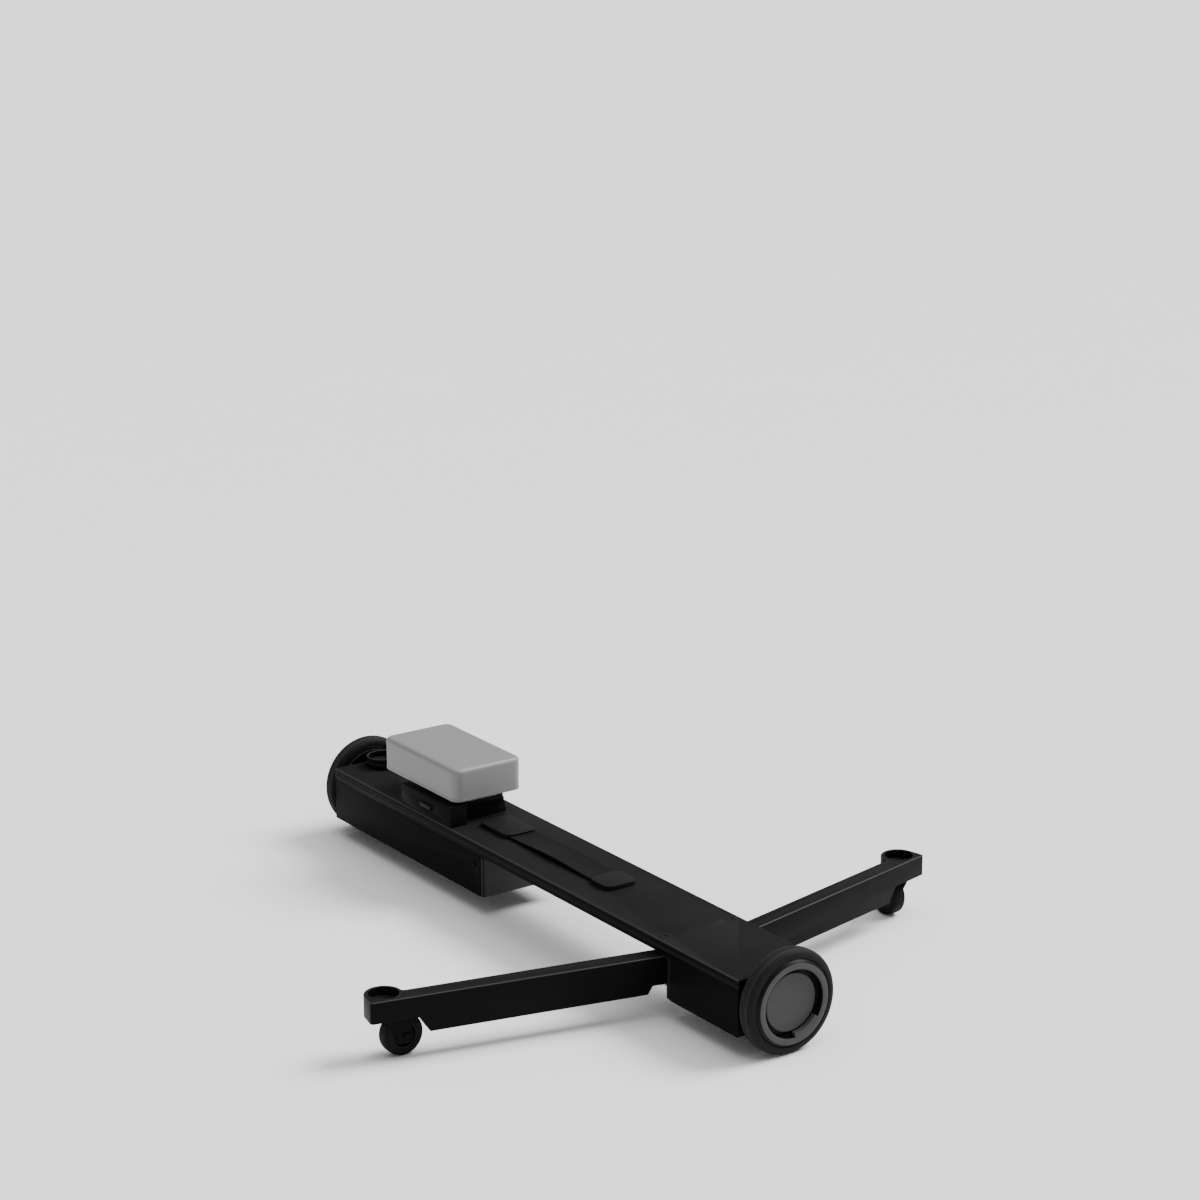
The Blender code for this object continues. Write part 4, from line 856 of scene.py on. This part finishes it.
def make_cups():
    """Makes the three foot cups and their pads, each at the height of its CAD node."""
    steps = sizes().small_steps
    for name in ("front", "rear", "beam"):
        node = f"{name}_foot_cup"
        pad = f"{name}_cup_pad"
        low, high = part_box(node)
        pad_low, pad_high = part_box(pad)
        middle = ((low.x + high.x) / 2, (low.y + high.y) / 2, 0)
        body = BODY_OF[node]
        if name == "beam":
            section, radius = cup_profile, 18.2 * MM
        else:
            section, radius = arm_cup_profile, 16.9 * MM
        cup = turned(f"{node}_fine", section(low.z, pad_low.z - CUP_PAD_GAP, high.z), steps, False)
        settle(cup, middle)
        smooth(cup, 30)
        mount(cup, body, "deck", node)
        rest = turned(f"{pad}_fine", pad_profile(pad_low.z, pad_high.z, radius), steps, False)
        settle(rest, middle)
        smooth(rest, 30)
        mount(rest, body, "pad", pad)


def caster_tyre_profile():
    """A caster tyre's section, round across the tread, with a fine line beside each shoulder."""
    radius, half, inner = 24 * MM, 8.5 * MM, 16.3 * MM
    crown, reach, flats = 21.6 * MM, 8.2 * MM, 12
    outline = [(inner, -half), (20.4 * MM, -half), (20.7 * MM, -half + 0.35 * MM)]
    outline += [(21.1 * MM, -half + 0.35 * MM), (21.4 * MM, -half + 0.1 * MM)]
    for step in range(flats + 1):
        angle = math.pi * step / flats
        spread = math.copysign(abs(math.cos(angle)) ** 0.6, math.cos(angle))
        rise = (radius - crown) * math.sin(angle) ** 0.7
        outline.append((crown + rise, -reach * spread))
    outline += [(21.4 * MM, half - 0.1 * MM), (21.1 * MM, half - 0.35 * MM)]
    outline += [(20.7 * MM, half - 0.35 * MM), (20.4 * MM, half), (inner, half)]
    return outline


def caster_hub_profile():
    """A caster hub's section: a boss, a dished web and a felly."""
    side = [
        (3.3 * MM, 8.5 * MM), (7.2 * MM, 8.5 * MM), (8.0 * MM, 7.8 * MM), (8.3 * MM, 5.2 * MM),
        (9.4 * MM, 4.4 * MM), (12.0 * MM, 4.4 * MM), (13.0 * MM, 5.2 * MM), (13.3 * MM, 7.9 * MM),
        (13.9 * MM, 8.4 * MM), (15.9 * MM, 8.4 * MM),
    ]
    return side + [(r, -z) for r, z in reversed(side)]


def hexagon_head(name, radius, height):
    """A hexagon bolt head, broken round its outer face, that stands on Z 0."""
    deselect()
    bpy.ops.mesh.primitive_cylinder_add(
        vertices=6, radius=radius, depth=height, location=(0, 0, height / 2),
    )
    piece = named(bpy.context.object, name)
    bpy.ops.object.transform_apply(location=True, rotation=True, scale=True)
    with editing(piece):
        pick(piece, "faces", lambda face: face.normal.z > 0.9)
        bpy.ops.mesh.inset(thickness=radius * 0.14, depth=0)
        bpy.ops.transform.translate(value=(0, 0, radius * 0.10))
        bpy.ops.mesh.inset(thickness=radius * 0.12, depth=0)
        bpy.ops.transform.translate(value=(0, 0, -radius * 0.08))
    return round_edges(piece, 0.15 * MM, 2, 20)


def make_casters():
    """Makes both casters' tyres, hubs, forks, axle heads and swivel bearings."""
    steps = sizes().small_steps
    head_radius, head_height, head_reach = 4.6 * MM, 2.0 * MM, 12.15 * MM
    bore, rim, chamfer = 4.4 * MM, 13.0 * MM, 0.4 * MM
    for name, side in ENDS:
        swivel = JOINT_AT[f"{name}_caster_swivel"]
        spin = JOINT_AT[f"{name}_caster_spin"]
        across = (0, math.pi / 2, 0) if side < 0 else (-math.pi / 2, 0, 0)
        axle = Vector((1, 0, 0)) if side < 0 else Vector((0, 1, 0))
        tyre = turned(f"{name}_caster_tyre_fine", caster_tyre_profile(), steps)
        settle(tyre, spin, across)
        smooth(tyre, 30)
        mount(tyre, f"{name}_caster_wheel", "tyre", f"{name}_caster_tyre")
        hub = turned(f"{name}_caster_hub_fine", caster_hub_profile(), steps)
        settle(hub, spin, across)
        smooth(hub, 30)
        mount(hub, f"{name}_caster_wheel", "nylon", f"{name}_caster_hub")
        dressed(f"{name}_caster_fork", sizes().moulded_edge, 3)
        for end, word in ((-1, "low"), (1, "high")):
            head = hexagon_head(f"{name}_axle_head_{word}", head_radius, head_height)
            settle(head, spin + axle * end * head_reach, [end * angle for angle in across])
            smooth(head, 30)
            mount(head, f"{name}_caster", "fork")
        low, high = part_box(f"{name}_swivel_bearing")
        ring = [
            (bore, low.z), (rim - chamfer, low.z), (rim, low.z + chamfer),
            (rim, high.z - chamfer), (rim - chamfer, high.z), (bore, high.z),
        ]
        bearing = turned(f"{name}_swivel_bearing_fine", ring, steps)
        settle(bearing, (swivel.x, swivel.y, 0))
        smooth(bearing, 30)
        mount(bearing, f"{name}_arm_group", "steel", f"{name}_swivel_bearing")


def make_battery():
    """Makes the battery's case, with a groove round its wall near the bottom, and its base."""
    size = sizes()
    groove_low, groove_high = 3.2 * MM, 3.7 * MM
    low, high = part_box("battery_case")
    case = block("battery_case_fine", low, high)
    with editing(case, "EDGE"):
        pick(case, "edges", lambda edge: abs(edge.verts[0].co.z - edge.verts[1].co.z) > 10 * MM)
        bpy.ops.mesh.bevel(offset=size.battery_corner, segments=10, affect="EDGES")
    with editing(case, "EDGE"):
        top = high.z - 0.1 * MM
        pick(case, "edges", lambda edge: min(v.co.z for v in edge.verts) > top)
        bpy.ops.mesh.bevel(offset=size.battery_edge, segments=7, affect="EDGES")
    with editing(case):
        pick(case, "faces", lambda face: face.normal.z < -0.9)
        bpy.ops.mesh.inset(thickness=0.7 * MM, depth=0)
        bpy.ops.transform.translate(value=(0, 0, 1.2 * MM))
    for height in (groove_low, groove_high):
        with editing(case):
            bpy.ops.mesh.select_all(action="SELECT")
            bpy.ops.mesh.bisect(plane_co=(0, 0, low.z + height), plane_no=(0, 0, 1))
    with editing(case):
        pick(case, "faces", lambda face: (
            groove_low < face.calc_center_median().z - low.z < groove_high
            and abs(face.normal.z) < 0.5
        ))
        bpy.ops.transform.shrink_fatten(value=-0.25 * MM, use_even_offset=True)
    smooth(case, 40)
    mount(case, "battery", "battery_shell", "battery_case")
    dressed("battery_base", size.moulded_edge, 2)


def make_strap():
    """Makes the carry strap, which rises between its end caps, and the caps."""
    thickness, cuts = 3.5 * MM, 71
    low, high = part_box("carry_strap")
    rise = high.z - low.z - thickness
    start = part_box("strap_left_cap")[1].x
    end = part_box("strap_right_cap")[0].x
    flat = high.z - rise
    strap = block("carry_strap_fine", low, (high.x, high.y, flat))
    with editing(strap, "EDGE"):
        pick(strap, "edges", lambda edge: abs(edge.verts[0].co.x - edge.verts[1].co.x) > 10 * MM)
        bpy.ops.mesh.subdivide(number_cuts=cuts)
    columns = sorted({round(vertex.co.x, 6) for vertex in strap.data.vertices})
    for x in columns:
        if start < x < end:
            lift = rise * math.sin(math.pi * (x - start) / (end - start)) ** 2
            with editing(strap, "VERT"):
                pick(strap, "verts", lambda vertex: abs(vertex.co.x - x) < 0.01 * MM)
                bpy.ops.transform.translate(value=(0, 0, lift))
    with editing(strap):
        inner = [columns[12], columns[-10]]
        pick(strap, "faces", lambda face: (
            face.normal.z > 0.9 and inner[0] < face.calc_center_median().x < inner[1]
        ))
        bpy.ops.mesh.inset(thickness=2.2 * MM, depth=-0.5 * MM)
    round_edges(strap, 0.7 * MM, 3, 30)
    smooth(strap, 35)
    mount(strap, "beam", "strap", "carry_strap")
    for name in ("left", "right"):
        dressed(f"strap_{name}_cap", sizes().moulded_edge, 3)


def socket_screw(name, radius, depth, socket):
    """A flush screw with a chamfered edge and a hexagon socket, its top at Z 0."""
    deselect()
    bpy.ops.mesh.primitive_cylinder_add(
        vertices=40, radius=radius, depth=depth, location=(0, 0, -depth / 2),
    )
    piece = named(bpy.context.object, name)
    bpy.ops.object.transform_apply(location=True, rotation=True, scale=True)
    deselect()
    bpy.ops.mesh.primitive_cylinder_add(vertices=6, radius=socket, depth=depth, location=(0, 0, 0))
    tool = bpy.context.object
    step = piece.modifiers.new("socket", "BOOLEAN")
    step.object = tool
    step.operation = "DIFFERENCE"
    apply_all(piece)
    bpy.data.objects.remove(tool, do_unlink=True)
    round_edges(piece, radius * 0.06, 2, 50)
    return smooth(piece, 30)


def make_fasteners():
    """Makes the pivot screws, the small flush screws and the two buttons."""
    size = sizes()
    head = socket_screw("front_pivot_screw_fine", 8.0 * MM, 2.0 * MM, 2.9 * MM)
    for name, _ in ENDS:
        pivot = JOINT_AT[f"{name}_arm_fold"]
        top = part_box(f"{name}_pivot_screw")[1].z
        piece = copied(head, f"{name}_pivot_screw_top")
        settle(piece, (pivot.x, pivot.y, top))
        mount(piece, "beam", "deck", f"{name}_pivot_screw")
    bpy.data.objects.remove(head, do_unlink=True)

    small = socket_screw("small_screw", size.screw_radius, 1.2 * MM, size.screw_radius * 0.45)
    inset, proud, count = 6.0 * MM, 0.05 * MM, 0
    for node, columns in (("left_bottom_hatch", 3), ("right_bottom_hatch", 2), ("bay_cover", 4)):
        low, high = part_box(node)
        for column in range(columns):
            share = column / (columns - 1)
            x = low.x + 2 * inset + (high.x - low.x - 4 * inset) * share
            for y in (low.y + inset, high.y - inset):
                count += 1
                piece = copied(small, f"flush_screw_{count:02d}")
                settle(piece, (x, y, low.z - proud), (math.pi, 0, 0))
                mount(piece, "beam", "steel")
    bpy.data.objects.remove(small, do_unlink=True)

    low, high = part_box("power_button")
    middle = ((low.x + high.x) / 2, 0, (low.z + high.z) / 2)
    front, depth, dish, radius = -low.y, 5.0 * MM, 0.35 * MM, 4.0 * MM
    profile = [
        (0, front - depth), (radius, front - depth), (radius, front - 0.5 * MM),
        (3.6 * MM, front), (2.9 * MM, front), (2.5 * MM, front - dish), (0, front - dish),
    ]
    button = turned("power_button_fine", profile, 64, False)
    settle(button, middle, (math.pi / 2, 0, 0))
    smooth(button, 30)
    mount(button, "power", "fork", "power_button")
    dressed("release_button", 0.5 * MM, 3)


def dress_beam():
    """Breaks the edges of the beam's plates, troughs and hatches."""
    size = sizes()
    for node in ("deck_plate", "bay_cover", "battery_saddle", "left_inner_cap", "right_inner_cap",
                 "left_end_plate", "right_end_plate", "left_housing", "right_housing"):
        dressed(node, size.edge)
    for node in ("battery_plate", "left_bottom_hatch", "right_bottom_hatch"):
        dressed(node, size.moulded_edge / 2)


def dress_arms():
    """Breaks the edges of both arms."""
    for name, _ in ENDS:
        dressed(f"{name}_arm", 2 * sizes().edge, 3)


def dress_rest():
    """Gives every CAD node that still shows its finish."""
    for node, thing in frame["nodes"].items():
        if not thing.hide_render:
            thing.data.materials.clear()
            thing.data.materials.append(finish_for(SLOT_OF[node], node))


def soft_sun(name, strength, azimuth, elevation, spread):
    """Adds one wide, soft light that shines from a direction given in degrees."""
    deselect()
    bpy.ops.object.light_add(type="SUN", location=(0, 0, 3))
    light = bpy.context.object
    light.name = name
    light.data.energy = strength
    light.data.angle = math.radians(spread)
    light.rotation_euler = (0, math.radians(90 - elevation), math.radians(azimuth))


def make_stage():
    """Sets up a pale floor, soft light and the camera that was fitted to the photograph."""
    deselect()
    bpy.ops.mesh.primitive_plane_add(size=60, location=(0, 0, 0))
    floor = named(bpy.context.object, "floor")
    cover = Finish("floor_pale", colours().floor, 0.55)
    cloud = cover.noise(3, 3)
    cover.set("Base Color", cover.shade(cloud, 0.99, 1.01))
    floor.data.materials.append(cover.material)

    world = bpy.data.worlds.new("soft_room")
    bpy.context.scene.world = world
    world.use_nodes = True
    backdrop = world.node_tree.nodes["Background"]
    backdrop.inputs["Color"].default_value = (1.0, 1.0, 1.0, 1.0)
    backdrop.inputs["Strength"].default_value = 0.45

    soft_sun("key_light", strength=4.7, azimuth=76, elevation=46, spread=30)
    soft_sun("top_light", strength=1.55, azimuth=0, elevation=84, spread=60)

    deselect()
    bpy.ops.object.camera_add(location=(2.83942, -1.92782, 1.38686))
    camera = bpy.context.object
    camera.name = "photo_camera"
    camera.rotation_euler = [math.radians(angle) for angle in (74.0423, 0.1077, 54.9506)]
    camera.data.lens = 92.668
    camera.data.sensor_width = 36.0
    camera.data.clip_start = 0.05
    camera.data.clip_end = 100.0
    bpy.context.scene.camera = camera


class DOLLY_OT_beam(bpy.types.Operator):
    """Breaks the edges of the beam's pieces and gives them their finishes"""

    bl_idname = "dolly.beam"
    bl_label = "Beam"

    def execute(self, context):
        dress_beam()
        return {"FINISHED"}


class DOLLY_OT_wheels(bpy.types.Operator):
    """Makes both driven wheels' tyres, rims and hub caps"""

    bl_idname = "dolly.wheels"
    bl_label = "Driven wheels"

    def execute(self, context):
        make_wheels()
        return {"FINISHED"}


class DOLLY_OT_arms(bpy.types.Operator):
    """Breaks the edges of both arms"""

    bl_idname = "dolly.arms"
    bl_label = "Arms"

    def execute(self, context):
        dress_arms()
        return {"FINISHED"}


class DOLLY_OT_cups(bpy.types.Operator):
    """Makes the three foot cups and their pads"""

    bl_idname = "dolly.cups"
    bl_label = "Foot cups"

    def execute(self, context):
        make_cups()
        return {"FINISHED"}


class DOLLY_OT_casters(bpy.types.Operator):
    """Makes both casters' wheels, forks and bearings"""

    bl_idname = "dolly.casters"
    bl_label = "Casters"

    def execute(self, context):
        make_casters()
        return {"FINISHED"}


class DOLLY_OT_battery(bpy.types.Operator):
    """Makes the battery's case and base"""

    bl_idname = "dolly.battery"
    bl_label = "Battery"

    def execute(self, context):
        make_battery()
        return {"FINISHED"}


class DOLLY_OT_strap(bpy.types.Operator):
    """Makes the carry strap and its end caps"""

    bl_idname = "dolly.strap"
    bl_label = "Carry strap"

    def execute(self, context):
        make_strap()
        return {"FINISHED"}


class DOLLY_OT_fasteners(bpy.types.Operator):
    """Makes the screws and the two buttons"""

    bl_idname = "dolly.fasteners"
    bl_label = "Screws and buttons"

    def execute(self, context):
        make_fasteners()
        return {"FINISHED"}


class DOLLY_OT_inside(bpy.types.Operator):
    """Gives the pieces that are left, most of them inside, their finishes"""

    bl_idname = "dolly.inside"
    bl_label = "Inner pieces"

    def execute(self, context):
        dress_rest()
        return {"FINISHED"}


class DOLLY_OT_stage(bpy.types.Operator):
    """Sets up the floor, the lights and the camera"""

    bl_idname = "dolly.stage"
    bl_label = "Stage"

    def execute(self, context):
        make_stage()
        return {"FINISHED"}


OPERATORS = (
    DOLLY_OT_stage,
    DOLLY_OT_beam,
    DOLLY_OT_wheels,
    DOLLY_OT_arms,
    DOLLY_OT_cups,
    DOLLY_OT_casters,
    DOLLY_OT_battery,
    DOLLY_OT_strap,
    DOLLY_OT_fasteners,
    DOLLY_OT_inside,
)


class DOLLY_PT_panel(bpy.types.Panel):
    """Lists the dolly's sizes, colours and steps"""

    bl_idname = "DOLLY_PT_panel"
    bl_label = "Camera Dolly"
    bl_space_type = "VIEW_3D"
    bl_region_type = "UI"
    bl_category = "Dolly"

    def draw(self, context):
        for group in (context.scene.dolly_sizes, context.scene.dolly_colours):
            column = self.layout.column(align=True)
            for name in group.bl_rna.properties.keys():
                if name not in ("rna_type", "name"):
                    column.prop(group, name)
        column = self.layout.column(align=True)
        for operator in OPERATORS:
            column.operator(operator.bl_idname)


CLASSES = (DollySizes, DollyColours, *OPERATORS, DOLLY_PT_panel)


def register():
    for item in CLASSES:
        bpy.utils.register_class(item)
    bpy.types.Scene.dolly_sizes = PointerProperty(type=DollySizes)
    bpy.types.Scene.dolly_colours = PointerProperty(type=DollyColours)


def unregister():
    del bpy.types.Scene.dolly_colours
    del bpy.types.Scene.dolly_sizes
    for item in reversed(CLASSES):
        bpy.utils.unregister_class(item)


def main():
    register()
    bpy.ops.dolly.stage()
    bpy.ops.dolly.beam()
    bpy.ops.dolly.wheels()
    bpy.ops.dolly.arms()
    bpy.ops.dolly.cups()
    bpy.ops.dolly.casters()
    bpy.ops.dolly.battery()
    bpy.ops.dolly.strap()
    bpy.ops.dolly.fasteners()
    bpy.ops.dolly.inside()


if __name__ == "__main__":
    main()
